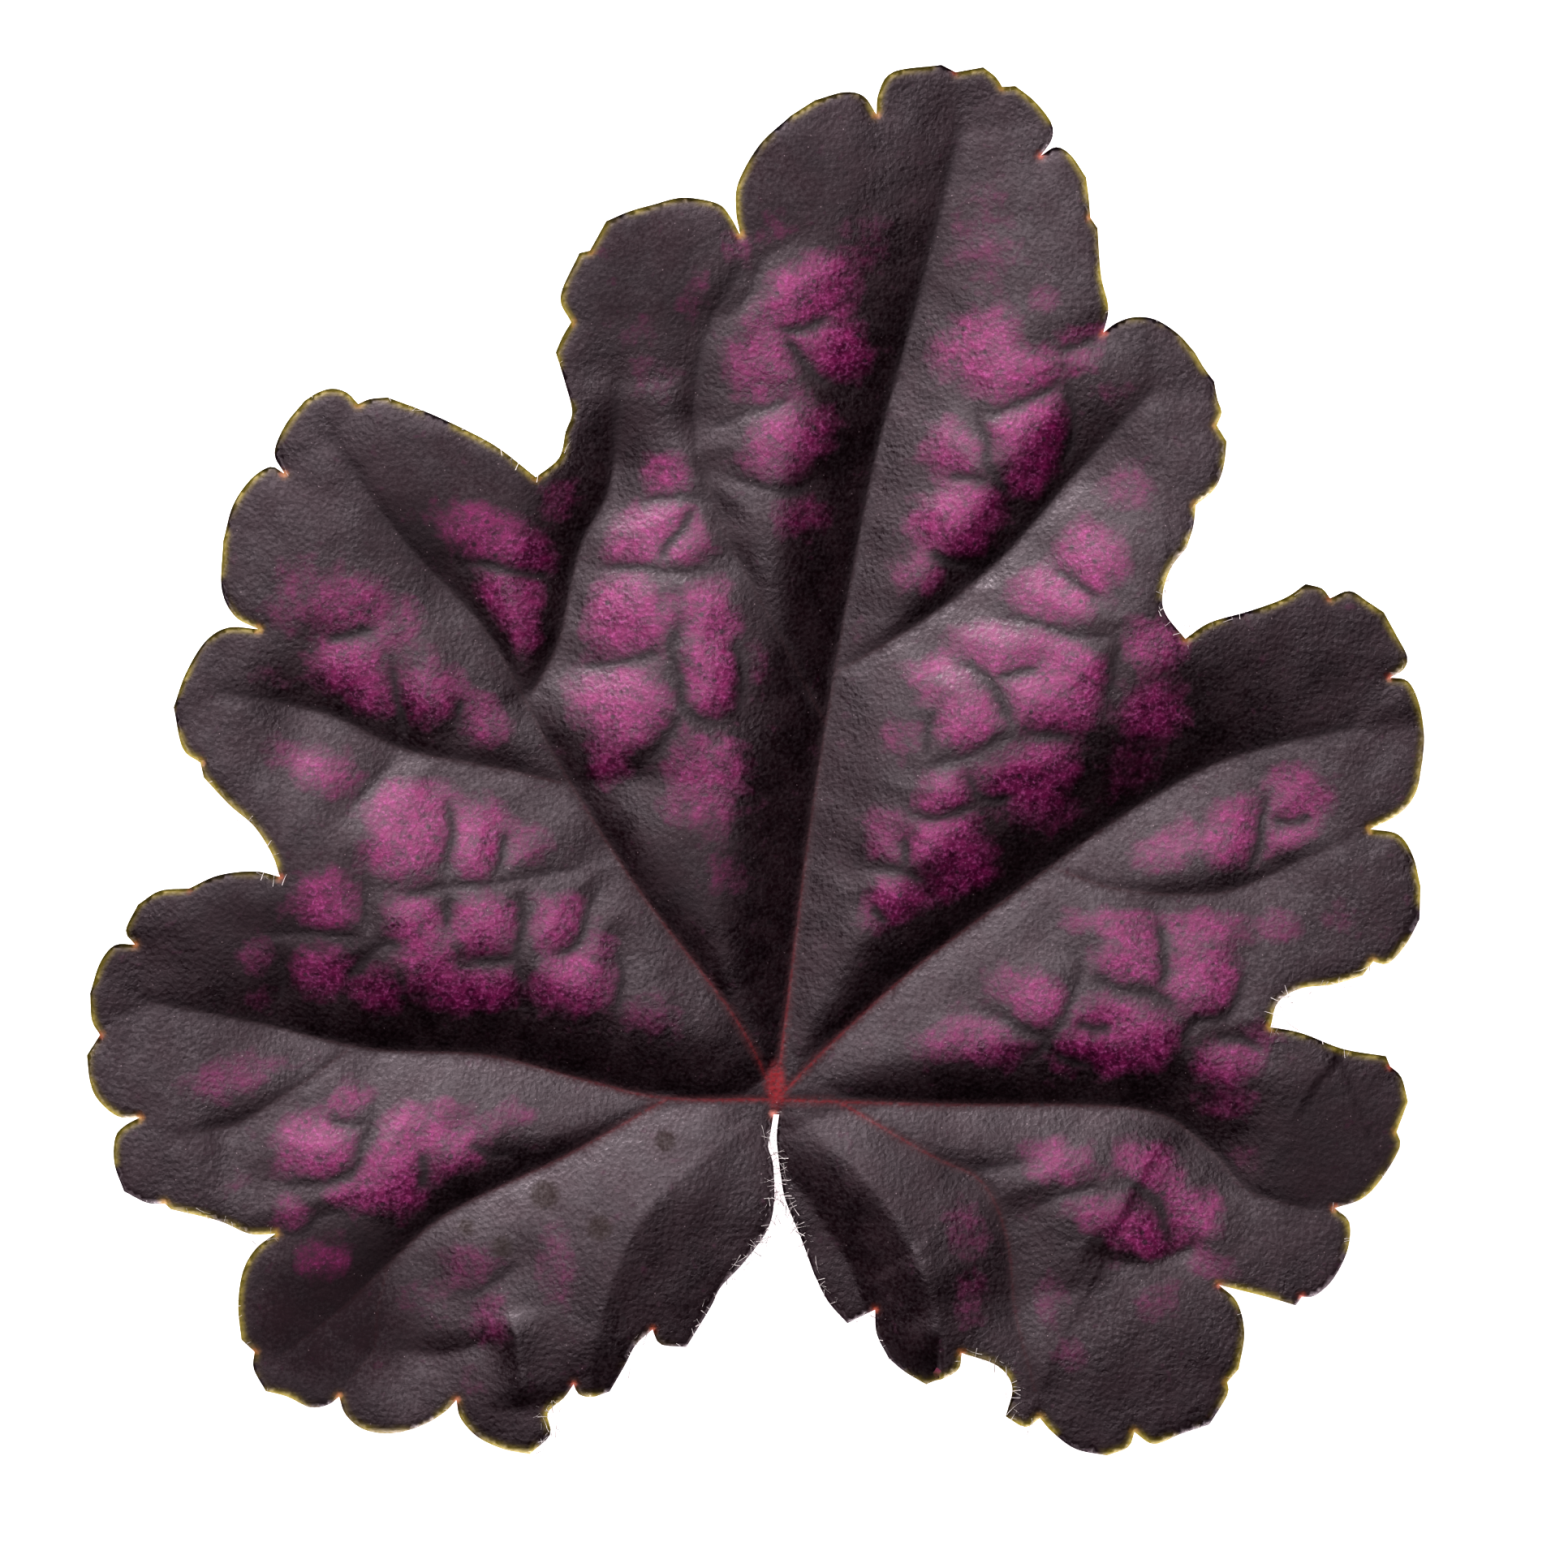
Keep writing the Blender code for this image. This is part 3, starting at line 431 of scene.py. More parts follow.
# Magenta patches between the veins: place, half length, half width, turn in degrees
# anticlockwise from +X, and strength of the colour
PATCHES = [
    # top lobe, left of its main vein
    (1.8, 49.2, 3.3, 2.4, 35, 1), (3.6, 46.1, 2.2, 1.9, -20, 0.95), (-1, 45.2, 2.1, 2.5, 0, 0.85),
    (0.7, 40.7, 3, 2.3, 40, 0.85), (1.6, 35.9, 1.8, 1.6, 0, 0.5), (-2.4, 52, 1.2, 0.7, 120, 0.4),
    (-0.4, 53, 0.9, 0.7, 0, 0.3), (-4.6, 49.2, 1.3, 1.8, 0, 0.35), (0.8, 54, 1.8, 1.2, 0, 0.2),
    (-7.8, 44, 2.2, 2, 0, 0.22), (-8.5, 47.5, 1.6, 1.2, 0, 0.2), (5.6, 52.5, 1.8, 2.2, 20, 0.22),
    (-6.5, 38.4, 2.1, 1.5, 0, 0.85), (-7.2, 34.6, 3.5, 2.1, 12, 1), (-9, 29.7, 3.1, 2.6, 0, 1),
    (-4.1, 29.3, 1.9, 2.8, 0, 0.95), (-9.4, 24.2, 3.3, 2.5, -18, 1), (-4, 25.8, 1.9, 2.3, 0, 1),
    (-10.2, 21, 1.5, 1.9, 0, 0.55), (-0.9, 26.8, 0.9, 1.6, 0, 0.35), (-4.2, 20.3, 2.6, 2.5, 0, 0.8),
    (-5.9, 17.9, 1.6, 1.4, 0, 0.45), (-3.6, 17.4, 1.6, 1.3, 0, 0.35), (-3.2, 14, 1.4, 2, 0, 0.3),
    # top lobe, right of its main vein
    (12.3, 46.4, 3, 2.2, 40, 0.85), (14.9, 44.7, 2.6, 1.7, 15, 0.95), (15.6, 41.6, 2.6, 2.3, 30, 1),
    (15.6, 38.5, 2, 1.4, 30, 0.9), (10.9, 39.8, 2, 2, 0, 0.8), (10.9, 35.8, 3.1, 2, 22, 0.95),
    (12, 34.1, 1.5, 1, 10, 0.8), (8.9, 32.3, 1.7, 1.4, 0, 0.6), (18.5, 46.9, 1.4, 0.7, 10, 0.7),
    (18.8, 45.4, 1.3, 0.9, 40, 0.65), (12.8, 52.6, 2.2, 2.8, 0, 0.3), (13.6, 56.2, 1.5, 1.2, 0, 0.2),
    (16.4, 49.2, 1, 0.9, 0, 0.45), (21.6, 37.6, 2, 1.4, -20, 0.45), (20.6, 43.4, 1.4, 1, 0, 0.3),
    (19.3, 33.1, 2.3, 2.5, 0, 0.95), (17, 30.8, 2.8, 1.7, -10, 0.9), (14.8, 27.4, 4.6, 1.9, -5, 0.9),
    (18.4, 26.2, 1.7, 1.6, 0, 1), (17, 24.6, 3.1, 2.3, 0, 1), (9.8, 25.9, 2.1, 1.6, 0, 0.7),
    (11.8, 23.2, 2.2, 1.9, 25, 0.95), (7.8, 22.2, 1.3, 1.4, 0, 0.45), (15.6, 20, 3.3, 2, 22, 1),
    (16.4, 17.8, 2.2, 1.7, 10, 0.6), (10.4, 18.9, 1.9, 1.5, 20, 0.9), (10.3, 16.1, 2.5, 1.7, 30, 1),
    (6.7, 16.3, 1.5, 1.9, 0, 0.6), (7.2, 12.2, 2.3, 1.5, 32, 0.9), (11.6, 14.2, 2.4, 1.4, 35, 0.9),
    (23.2, 27.9, 1.9, 1.8, 0, 0.85), (23.2, 23.9, 2.1, 1.9, 0, 0.9), (22, 19.8, 2, 2.2, 0, 0.4),
    # upper left lobe
    (-17.2, 34.4, 3.7, 1.9, -22, 0.9), (-16.3, 31, 2.3, 2.1, -25, 0.85), (-15.5, 28.7, 1.3, 1.6, 0, 0.7),
    (-13.1, 36.9, 1.4, 1.5, 0, 0.45), (-26.3, 30.7, 2.4, 1.9, 0, 0.75), (-23.3, 29.3, 1.8, 2, 0, 0.5),
    (-26.2, 26.7, 2.4, 2.2, -20, 1), (-24.4, 24.6, 1.5, 1.2, 0, 0.8), (-21.2, 25, 2.2, 2.2, 0, 0.8),
    (-17.9, 23.3, 1.7, 1.8, 0, 0.7), (-30.1, 30, 1.4, 1.5, 0, 0.5), (-29.3, 32.2, 1.4, 1.1, 0, 0.45),
    (-28.2, 20.4, 3, 1.5, -22, 0.7), (-30.9, 25.6, 1.6, 1.4, 0, 0.2), (-22.3, 17.8, 3.1, 1.9, 0, 1),
    (-22.8, 15.3, 2.7, 1.8, 0, 1), (-18.2, 15.9, 2, 2.5, -15, 0.95), (-15.2, 15.6, 1.5, 1.5, 0, 0.5),
    (-22, 10.9, 2.1, 2.1, 0, 0.9), (-18, 10.9, 2.2, 2.1, 0, 1), (-13.3, 10.8, 2.1, 1.8, 0, 0.85),
    (-18.8, 6.9, 3.1, 1.5, 0, 1), (-21.3, 8.6, 1.5, 1.4, 0, 0.95), (-12.4, 7.3, 2.6, 2.1, 0, 0.95),
    (-10.7, 9.7, 1.2, 0.9, 0, 0.6), (-8, 5.4, 2.2, 1.6, 0, 0.35),
    # left lobe
    (-27.6, 12.3, 2.2, 1.8, 0, 0.95), (-27.9, 8, 2.2, 1.7, 0, 0.85), (-24.5, 6.8, 1.7, 1.6, 0, 0.65),
    (-31.8, 8.8, 1.3, 1, 0, 0.55), (-31.6, 6.4, 1.3, 0.9, 0, 0.3), (-34.4, 1.1, 1.9, 1.5, 0, 0.45),
    (-31.9, 1.9, 1.9, 1.3, 20, 0.45), (-28.2, -2.8, 2.7, 2.2, 0, 0.95), (-26.2, 0, 1.7, 1.1, 20, 0.65),
    (-22.4, -1.8, 2.1, 1.7, 0, 0.9), (-23.7, -4.9, 2.5, 2.2, 0, 1), (-26.3, -5.7, 1.4, 1, 0, 0.9),
    (-19.7, -3, 2.4, 1.7, 15, 0.8), (-16.4, -1.2, 1.7, 1.1, 10, 0.4), (-20.4, -0.5, 1.6, 0.8, 0, 0.5),
    (-29.7, -7.1, 1.4, 1.2, 0, 0.65), (-27.8, -9.6, 1.8, 1.3, 0, 0.6), (-33.2, -5, 1, 0.8, 0, 0.25),
    # basal lobes
    (-18.8, -10.2, 2, 1.7, 0, 0.4), (-17.6, -13.2, 1.6, 2, 0, 0.4), (-13.3, -10.5, 1.3, 3, 0, 0.35),
    (-22.2, -12.2, 2, 1.4, 0, 0.25), (-18.4, -17.4, 1.2, 1, 0, 0.25), (17.4, -3.9, 2.7, 1.4, -12, 0.7),
    (23, -4.2, 2.5, 1.7, -30, 0.75), (25.6, -7.1, 1.9, 1.8, 0, 0.95), (20.3, -6.9, 2.4, 1.4, 0, 0.7),
    (22.4, -8.3, 2.1, 1.3, -10, 0.95), (26.6, -10.2, 1.6, 1.1, -10, 0.5), (23.5, -12.2, 1.6, 1.4, 0, 0.35),
    (11.9, -8, 1.7, 2, 0, 0.35), (16.8, -12.2, 1.2, 2, 0, 0.35), (11.8, -12.2, 1.3, 1.9, 0, 0.35),
    (18.2, -15.5, 1.4, 1.2, 0, 0.3), (28.4, -3.6, 1.6, 1.1, 0, 0.3),
    # upper right and right lobes
    (28.1, 16.4, 2, 2.4, 0, 0.95), (24.3, 15.6, 2.5, 1.5, 22, 0.7), (32, 18.7, 2.2, 2.1, 0, 0.85),
    (31.8, 15.8, 2.2, 1.5, 20, 0.85), (30.8, 10.6, 1.8, 0.9, 0, 0.5), (34.6, 11.2, 1.4, 1.2, 0, 0.25),
    (21.4, 11, 2.3, 1.3, 0, 0.7), (18.4, 10.8, 1.3, 0.9, 0, 0.4), (21.9, 8.7, 2.3, 1.7, 0, 0.95),
    (26, 10.5, 2.5, 1.5, 0, 0.85), (26.1, 7.3, 2.6, 2, 0, 1), (16.1, 6.3, 1.8, 1.7, 0, 1),
    (14.2, 7.2, 1.6, 1.3, 0, 0.5), (21.4, 4.6, 3.4, 1.7, -12, 1), (21.8, 2.9, 2.6, 1.4, 12, 1),
    (18.8, 3.1, 1.8, 1.4, 0, 0.9), (12.8, 3.5, 3.2, 1.4, -8, 0.75), (9.4, 3.2, 1.4, 1.2, 0, 0.4),
    (27.8, 2.2, 2.4, 1.4, 0, 0.85), (29.8, 3.9, 1.6, 1, 0, 0.45), (27.6, -0.2, 2, 0.8, 0, 0.4),
]
PATCH_WOBBLE = 0.55
PATCH_WOBBLE_SIZE = 1.3
PATCH_WOBBLE_SHIFTS = (3.1, 7.7)
PATCH_EDGES = (0.40, 1.45)
PATCH_FREE = (0.2, 1.6)
PATCH_CUT = (0.8, 0.42)

# Round faded blotches: place, radius and strength
BLOTCHES = [
    (-10.8, -7.8, 0.95, 1), (-14.2, -5.8, 1.1, 1), (-16.8, -9, 0.8, 1), (-6.8, -2.5, 0.8, 1),
    (-19, -7.8, 0.6, 1),
]
BLOTCH_EDGES = (0.6, 1.0)

# Duller parts of the skin: place, reach, and strength
DULL_PLACES = [
    (-27.5, -13, 6.5, 1), (-8, 50.5, 5.5, 0.5), (0.5, 56.5, 5, 0.5), (-20, 37, 6, 0.5),
    (35, -3.5, 6, 0.5), (-30, 12, 7, 0.3), (-5, 14, 4, 0.4),
]
DULL_EDGES = (0.35, 1.15)

# Stretches of the margin with longer hairs: place, reach, and hairs to a millimetre
HAIRY_PLACES = [
    (-0.6, -6, 5.5, 6), (1.5, -8.5, 5.5, 6), (-4.5, -14, 3, 2.5), (-9.2, -15.6, 2.6, 2.5),
    (-14, -19.3, 2, 9), (14, -18, 3.6, 4), (6.5, -14.5, 3, 2), (-15.5, 39, 4.2, 2.6),
    (-21, 42, 4, 1.3), (-30.6, 14, 3, 2), (-34, 17.5, 3.5, 1.2), (-32.4, -9, 3.6, 1.6),
    (-32.8, -14.5, 4, 1.2), (-36.5, -6.8, 3, 1), (24.4, 29.6, 3.6, 3), (29, 30.2, 4, 1.6),
    (30.6, 5.4, 3, 3), (34.5, 3.4, 3.4, 1.6), (34.5, 7.4, 3.4, 1.6), (34.6, -8.5, 4, 1),
]

# Every hair: SPARSE_HAIRS to a millimetre where no such place is near, lengths in
# millimetres, turns in degrees, and lifts against a sideways reach of 1
SPARSE_HAIRS = 0.35
HAIR_LENGTHS = (0.28, 0.95)
HAIR_SEED = 11
HAIR_STEP = 0.1
HAIRY_EDGE = 1.6
HAIR_LEAST_SHARE = 0.25
HAIR_GROWTH = 0.35
HAIR_CHANCE = (0.55, 1.0)
HAIR_ROUGHNESS = 0.4
HAIR_SUNK = 0.08
HAIR_TURN = 65.0
INWARD_HAIRS = 0.5
INWARD_LIFT = (0.25, 0.75)
OUTWARD_LIFT = (-0.1, 0.5)
HAIR_SHAPE = {"Thickness": 0.034, "Bend": 0.22, "Tip Share": 0.15}

# The photograph's frame, in millimetres
PHOTO_CENTRE = (0.5, 19.4)
PHOTO_WIDTH = 96.6
CAMERA_LENS = 200.0
CAMERA_SENSOR = 36.0

# Floor size in metres and its gap in millimetres. Lights: degrees clockwise from +Y and
# upwards, distance and size in metres, and watts. Air: spans of direction and of strength.
PURE_WHITE = (1.0, 1.0, 1.0, 1.0)
FLOOR_WHITE = (0.86, 0.86, 0.86, 1.0)
FLOOR_SIZE = 4.0
FLOOR_GAP = 0.05
FLOOR_GLOW = 0.85
FLOOR_ROUGHNESS = 0.9
LIGHTS = {
    "key_light": (-22.0, 30.0, 0.6, 0.36, 5.2),
    "sheen_light": (-22.0, 75.0, 0.7, 0.46, 1.5),
}
HORIZON_HEIGHT = (0.07, 0.20)
HORIZON_STRENGTH = (0.95, 0.01)
LIT_SIDE = (-0.4, 0.2)
LIT_STRENGTH = (0.04, 1.0)


def smooth_curve(points, step):
    """Points every step along a Catmull-Rom curve through the given points."""
    knots = [np.array(p, float) for p in points]
    knots = [2 * knots[0] - knots[1]] + knots + [2 * knots[-1] - knots[-2]]
    line = []
    for before, start, end, after in zip(knots, knots[1:], knots[2:], knots[3:]):
        count = max(1, round(float(np.linalg.norm(end - start)) / step))
        for i in range(count):
            t = i / count
            line.append(0.5 * (2 * start + (end - before) * t
                               + (2 * before - 5 * start + 4 * end - after) * t ** 2
                               + (3 * start - before - 3 * end + after) * t ** 3))
    line.append(knots[-2])
    return np.array(line)


def margin_loop():
    """The whole margin as one loop of points, with a sharp corner at each run's start."""
    loop = []
    for run, following in zip(MARGIN, MARGIN[1:]):
        loop.extend(smooth_curve(run + [following[0]], MARGIN_STEP)[:-1])
    loop.extend(smooth_curve(MARGIN[-1], MARGIN_STEP))
    return np.array(loop)


def distance_to(points, line):
    """Distance from each point to a line, how far along it the nearest place is, and how
    much the point lies on the line's steep side, from -1 to 1."""
    nearest = np.full(len(points), np.inf)
    along = np.zeros(len(points))
    side = np.zeros(len(points))
    walked = 0.0
    for start, end in zip(line, line[1:]):
        run = end - start
        length = float(np.linalg.norm(run))
        share = np.clip((points - start) @ run / length ** 2, 0.0, 1.0)
        away = points - (start + share[:, None] * run)
        gap = np.hypot(*away.T)
        closer = gap < nearest
        nearest = np.where(closer, gap, nearest)
        along = np.where(closer, walked + share * length, along)
        side = np.where(closer, away @ np.array(STEEP_SIDE) / np.maximum(gap, 1e-6), side)
        walked += length
    return nearest, along / walked, side


def distance_to_margin(points, loop):
    """Distance from each point to the margin."""
    fine = np.vstack([loop + (np.roll(loop, -1, axis=0) - loop) * t for t in (0.0, 0.25, 0.5, 0.75)])
    tree = kdtree.KDTree(len(fine))
    for i, (x, y) in enumerate(fine):
        tree.insert((x, y, 0.0), i)
    tree.balance()
    return np.array([tree.find((x, y, 0.0))[2] for x, y in points])


def is_inside(points, loop):
    """Which points lie inside a closed loop, by counting the edges to their right."""
    crossings = np.zeros(len(points), int)
    for (x0, y0), (x1, y1) in zip(loop, np.roll(loop, -1, axis=0)):
        spans = (y0 > points[:, 1]) != (y1 > points[:, 1])
        if spans.any():
            at_x = x0 + (points[:, 1] - y0) * (x1 - x0) / (y1 - y0)
            crossings += spans & (points[:, 0] < at_x)
    return crossings % 2 == 1


def smooth_step(value, start, end):
    """0 before the start, 1 after the end, and a smooth turn between them."""
    share = np.clip((value - start) / (end - start), 0.0, 1.0)
    return share * share * (3.0 - 2.0 * share)


def rough_field(points, size, shift=0.0):
    """Smooth noise from -1 to 1 with bumps of about the given size."""
    return np.array([noise.noise(Vector((x / size, y / size, shift))) for x, y in points])


def blunt_distance(gap, bluntness):
    """A distance whose sharp crease at zero is rounded off."""
    return np.sqrt(gap ** 2 + bluntness ** 2) - bluntness


def offset_rows(points, step, offsets):
    """The curve through the points, with a point every step, moved sideways by each offset."""
    line = smooth_curve(points, step)
    run = np.gradient(line, axis=0)
    side = np.column_stack([-run[:, 1], run[:, 0]]) / np.hypot(*run.T)[:, None]
    return np.vstack([line + offset * side for offset in offsets])


def hex_grid(loop, step):
    """A grid of evenly packed points over the whole leaf."""
    low, high = loop.min(axis=0), loop.max(axis=0)
    row_step = step * math.sqrt(3.0) / 2.0
    rows = np.arange(int((high[1] - low[1]) / row_step) + 1)
    columns = np.arange(int((high[0] - low[0]) / step) + 1)
    row, column = (part.ravel() for part in np.meshgrid(rows, columns, indexing="ij"))
    return np.column_stack([low[0] + (column + 0.5 * (row % 2)) * step, low[1] + row * row_step])


class Leaf:
    """The leaf's lines, sampled once, and the points of its sheets."""

    def __init__(self):
        def curves(lines):
            return [smooth_curve(points, VEIN_STEP) for points in lines]
        self.loop = margin_loop()
        self.main = curves(MAIN_VEINS.values())
        self.side = curves(SIDE_VEINS.values())
        self.small = curves(SMALL_VEINS)
        self.crests = curves(points for _, points in CRESTS)
        self.small_folds = curves(SMALL_FOLDS)
        self.small_crests = curves(SMALL_CRESTS)

    def sheet_points(self, step, offsets, lines, clear_of_margin):
        """The margin first, then rows along the veins and a grid, thinned where they crowd."""
        inner = []
        cells = {}
        rows = np.vstack([offset_rows(points, step, offsets) for points in lines])
        for candidates, clear in ((rows, ROW_CLEARANCE), (hex_grid(self.loop, step), GRID_CLEARANCE * step)):
            candidates = candidates[is_inside(candidates, self.loop)]
            candidates = candidates[distance_to_margin(candidates, self.loop) > clear_of_margin]
            for x, y in candidates:
                i, j = int(x // step), int(y // step)
                near = [other for di in (-1, 0, 1) for dj in (-1, 0, 1)
                        for other in cells.get((i + di, j + dj), ())]
                if all((x - a) ** 2 + (y - b) ** 2 > clear ** 2 for a, b in near):
                    inner.append((x, y))
                    cells.setdefault((i, j), []).append((x, y))
        return [tuple(point) for point in self.loop] + inner

    def notch_corners(self):
        """The run starts where the margin turns inwards: the bottoms of notches and gaps."""
        corners = []
        for start in (np.array(run[0]) for run in MARGIN):
            at = int(np.argmin(np.hypot(*(self.loop - start).T)))
            before, after = self.loop[at - 3], self.loop[(at + 3) % len(self.loop)]
            if np.cross(self.loop[at] - before, after - self.loop[at]) > NOTCH_TURN:
                corners.append(start)
        return corners


class Place:
    """Distances, heights and colour weights at a set of points on the leaf."""

    def __init__(self, leaf, points):
        self.leaf = leaf
        self.points = points
        self.from_stalk = np.hypot(*points.T)
        self.from_margin = distance_to_margin(points, leaf.loop)
        self.main = self.distances(leaf.main)
        self.side = self.distances(leaf.side)
        self.small = self.distances(leaf.small)

    def distances(self, lines):
        """Distance, place along it and side, for each line."""
        return [distance_to(self.points, line) for line in lines]

    @staticmethod
    def fade(along):
        """1 along most of a line, and 0 at its two ends."""
        return smooth_step(4.0 * along * (1.0 - along), 0.0, LINE_FADE)

    def on_small_vein(self, width):
        """1 on a small vein, and 0 away from it and at its ends."""
        near = [np.exp(-(gap / width) ** 2) * self.fade(along) for gap, along, _ in self.small]
        return np.max(near, axis=0)

    @staticmethod
    def valley(gap, along, side, gentle, steeper):
        """Height of the blade above a vein, by the distance to it."""
        blunt = blunt_distance(gap, VALLEY_BLUNTNESS)
        reach = blunt / (1.0 + (blunt / VALLEY_REACH) ** 4) ** 0.25
        steep = smooth_step(side, *STEEP_TURN)
        slope = gentle * GENTLE_SLOPE + (steeper * STEEP_SLOPE - gentle * GENTLE_SLOPE) * steep
        slope = slope * (1.0 - FLAT_END_SHARE * smooth_step(along, *FLAT_END))
        return slope * reach + VEIN_END_RISE * smooth_step(along, *LIFTED_END)

    def folds(self):
        """Height of the blade's big folds, without its ribs."""
        sheets = []
        for name, place in zip([*MAIN_VEINS, *SIDE_VEINS], self.main + self.side):
            start, end, gentle, steeper = VALLEYS.get(name, (0.0, 0.0, 1.0, 1.0))
            sheets.append(start + (end - start) * place[1] + self.valley(*place, gentle, steeper))
        lowest = -RIDGE_BLUNTNESS * np.log(np.exp(-np.array(sheets) / RIDGE_BLUNTNESS).sum(axis=0))
        height = np.maximum(lowest, 0.0)
        for line, (bend, _) in zip(self.leaf.crests, CRESTS):
            gap = distance_to(self.points, line)[0]
            gap_side = [(line[-1][0], BELOW_LEAF), (0.0, BELOW_LEAF), (0.0, 0.0)]
            beyond = is_inside(self.points, np.vstack([line, gap_side]))
            change = (CREST_RISE * np.exp(-gap / CREST_WIDTH)
                      - bend * beyond * blunt_distance(gap, CREST_BLUNTNESS))
            height += change * (1.0 - np.exp(-self.from_stalk / CREST_FADE))
        height = np.maximum(height, 0.0)
        height *= 1.0 - MARGIN_CURL_SHARE * np.exp(-self.from_margin / MARGIN_CURL_WIDTH)
        height += self.rib_depth()
        over = np.maximum(height - CEILING_START, 0.0)
        return height - over + CEILING_ROOM * (1.0 - np.exp(-over / CEILING_ROOM))

    def rib_depth(self):
        """Depth of a main rib, which thins away from the stalk."""
        return RIB_TIP_DEPTH + (RIB_STALK_DEPTH - RIB_TIP_DEPTH) * np.exp(-self.from_stalk / RIB_TAPER)

    def relief(self):
        """Small veins, creases, quilting and wrinkles, nearly all of it downwards."""
        grooves = [depth * np.exp(-blunt_distance(gap, VALLEY_BLUNTNESS) / CREASE_WIDTH)
                   for depth, places in zip(CREASE_DEPTHS, (self.main, self.side)) for gap, _, _ in places]
        grooves += [SMALL_VEIN_DEPTH * self.fade(along)
                    * np.exp(-blunt_distance(gap, SMALL_VEIN_BLUNTNESS) / SMALL_VEIN_WIDTH)
                    for gap, along, _ in self.small]
        grooves += [SMALL_FOLD_DEPTH * self.fade(along)
                    * np.exp(-blunt_distance(gap, VALLEY_BLUNTNESS) / SMALL_FOLD_WIDTH)
                    for gap, along, _ in self.distances(self.leaf.small_folds)]
        height = -np.max(grooves, axis=0)
        for gap, along, _ in self.distances(self.leaf.small_crests):
            height += SMALL_CREST_RISE * self.fade(along) * np.exp(-gap / SMALL_CREST_WIDTH)
        to_small_vein = np.min([gap for gap, _, _ in self.small], axis=0)
        height -= QUILT_DEPTH * np.exp(-(to_small_vein / QUILT_WIDTH) ** 2)
        for size, depth in WRINKLES:
            height += depth * rough_field(self.points, size) - 0.5 * depth
        return height

    def upper(self):
        """Height of the blade's upper face."""
        edge = MARGIN_DROP * np.exp(-self.from_margin / MARGIN_ROUND)
        return self.folds() + SOLID_THICKNESS + self.relief() - edge

    def lower(self, upper):
        """Height of the blade's lower face, with its ribs and the stalk's end."""
        grown = 1.0 - np.exp(-self.from_margin / MARGIN_ROUND)
        blade = upper - (MARGIN_THICKNESS + (BLADE_THICKNESS - MARGIN_THICKNESS) * grown)
        hang = SMALL_RIB_DEPTH * self.on_small_vein(SMALL_RIB_HALF_WIDTH)
        for gap, along, _ in self.side:
            depth = SIDE_RIB_DEPTH * (1.0 - SIDE_RIB_LOSS * along)
            hang = np.maximum(hang, depth * np.exp(-(gap / SIDE_RIB_HALF_WIDTH) ** 2))
        for gap, along, _ in self.main:
            half_width = MAIN_RIB_HALF_WIDTH * (1.0 - MAIN_RIB_NARROWING * along)
            depth = np.minimum(blade, self.rib_depth() + SOLID_THICKNESS - BLADE_THICKNESS)
            hang = np.maximum(hang, depth * np.exp(-(gap / half_width) ** 4))
        away = np.hypot(*(self.points - np.array(STALK_CENTRE)).T)
        hang = np.maximum(hang, blade * (1.0 - smooth_step(away, STALK_RADIUS, STALK_RADIUS + STALK_FLARE)))
        hang *= smooth_step(self.from_margin, 0.0, RIBS_FROM_MARGIN)
        return np.maximum(blade - hang, 0.0)

    def vein_and_crease_shade(self):
        """How near a point is to the thin dark line of a vein, painted partly as the vein's own colour and
        partly as shade in its crease.
        """
        strength, width = SMALL_LINE
        lines = [strength * self.on_small_vein(width)]
        for (strength, width), places in ((SIDE_LINE, self.side), (MAIN_LINE, self.main)):
            lines += [strength * np.exp(-(gap / width) ** 2) for gap, _, _ in places]
        return np.max(lines, axis=0)

    def magenta(self):
        """Weight of the magenta colour."""
        wobble = [rough_field(self.points, PATCH_WOBBLE_SIZE, shift) for shift in PATCH_WOBBLE_SHIFTS]
        moved = self.points + PATCH_WOBBLE * np.column_stack(wobble)
        bare = np.ones(len(moved))
        for x, y, half_length, half_width, turn, strength in PATCHES:
            cosine, sine = math.cos(math.radians(turn)), math.sin(math.radians(turn))
            dx, dy = moved[:, 0] - x, moved[:, 1] - y
            reach = np.hypot((dx * cosine + dy * sine) / half_length, (dy * cosine - dx * sine) / half_width)
            bare *= 1.0 - strength * (1.0 - smooth_step(reach, *PATCH_EDGES))
        beside_vein = np.min([gap for gap, _, _ in self.main + self.side], axis=0)
        cut, cut_width = PATCH_CUT
        uncut = 1.0 - cut * self.on_small_vein(cut_width)
        return (1.0 - bare) * smooth_step(beside_vein, *PATCH_FREE) * uncut

    def crimson(self):
        """Weight of the crimson at the stalk and along the first part of the main veins."""
        centre, half_width, half_length = CRIMSON_SPOT
        spot = np.hypot(self.points[:, 0] / half_width, (self.points[:, 1] - centre) / half_length)
        weight = 1.0 - smooth_step(spot, *CRIMSON_EDGES)
        strength, width = CRIMSON_LINE
        for gap, _, _ in self.main + self.side:
            line = strength * np.exp(-(gap / width) ** 2)
            weight = np.maximum(weight, line * np.exp(-self.from_stalk / CRIMSON_REACH))
        return weight

    def spots(self, places, start, end):
        """Weight of round places, full out to one share of their reach and gone at another."""
        weight = np.zeros(len(self.points))
        for x, y, reach, strength in places:
            away = np.hypot(self.points[:, 0] - x, self.points[:, 1] - y)
            weight = np.maximum(weight, strength * (1.0 - smooth_step(away, start * reach, end * reach)))
        return weight

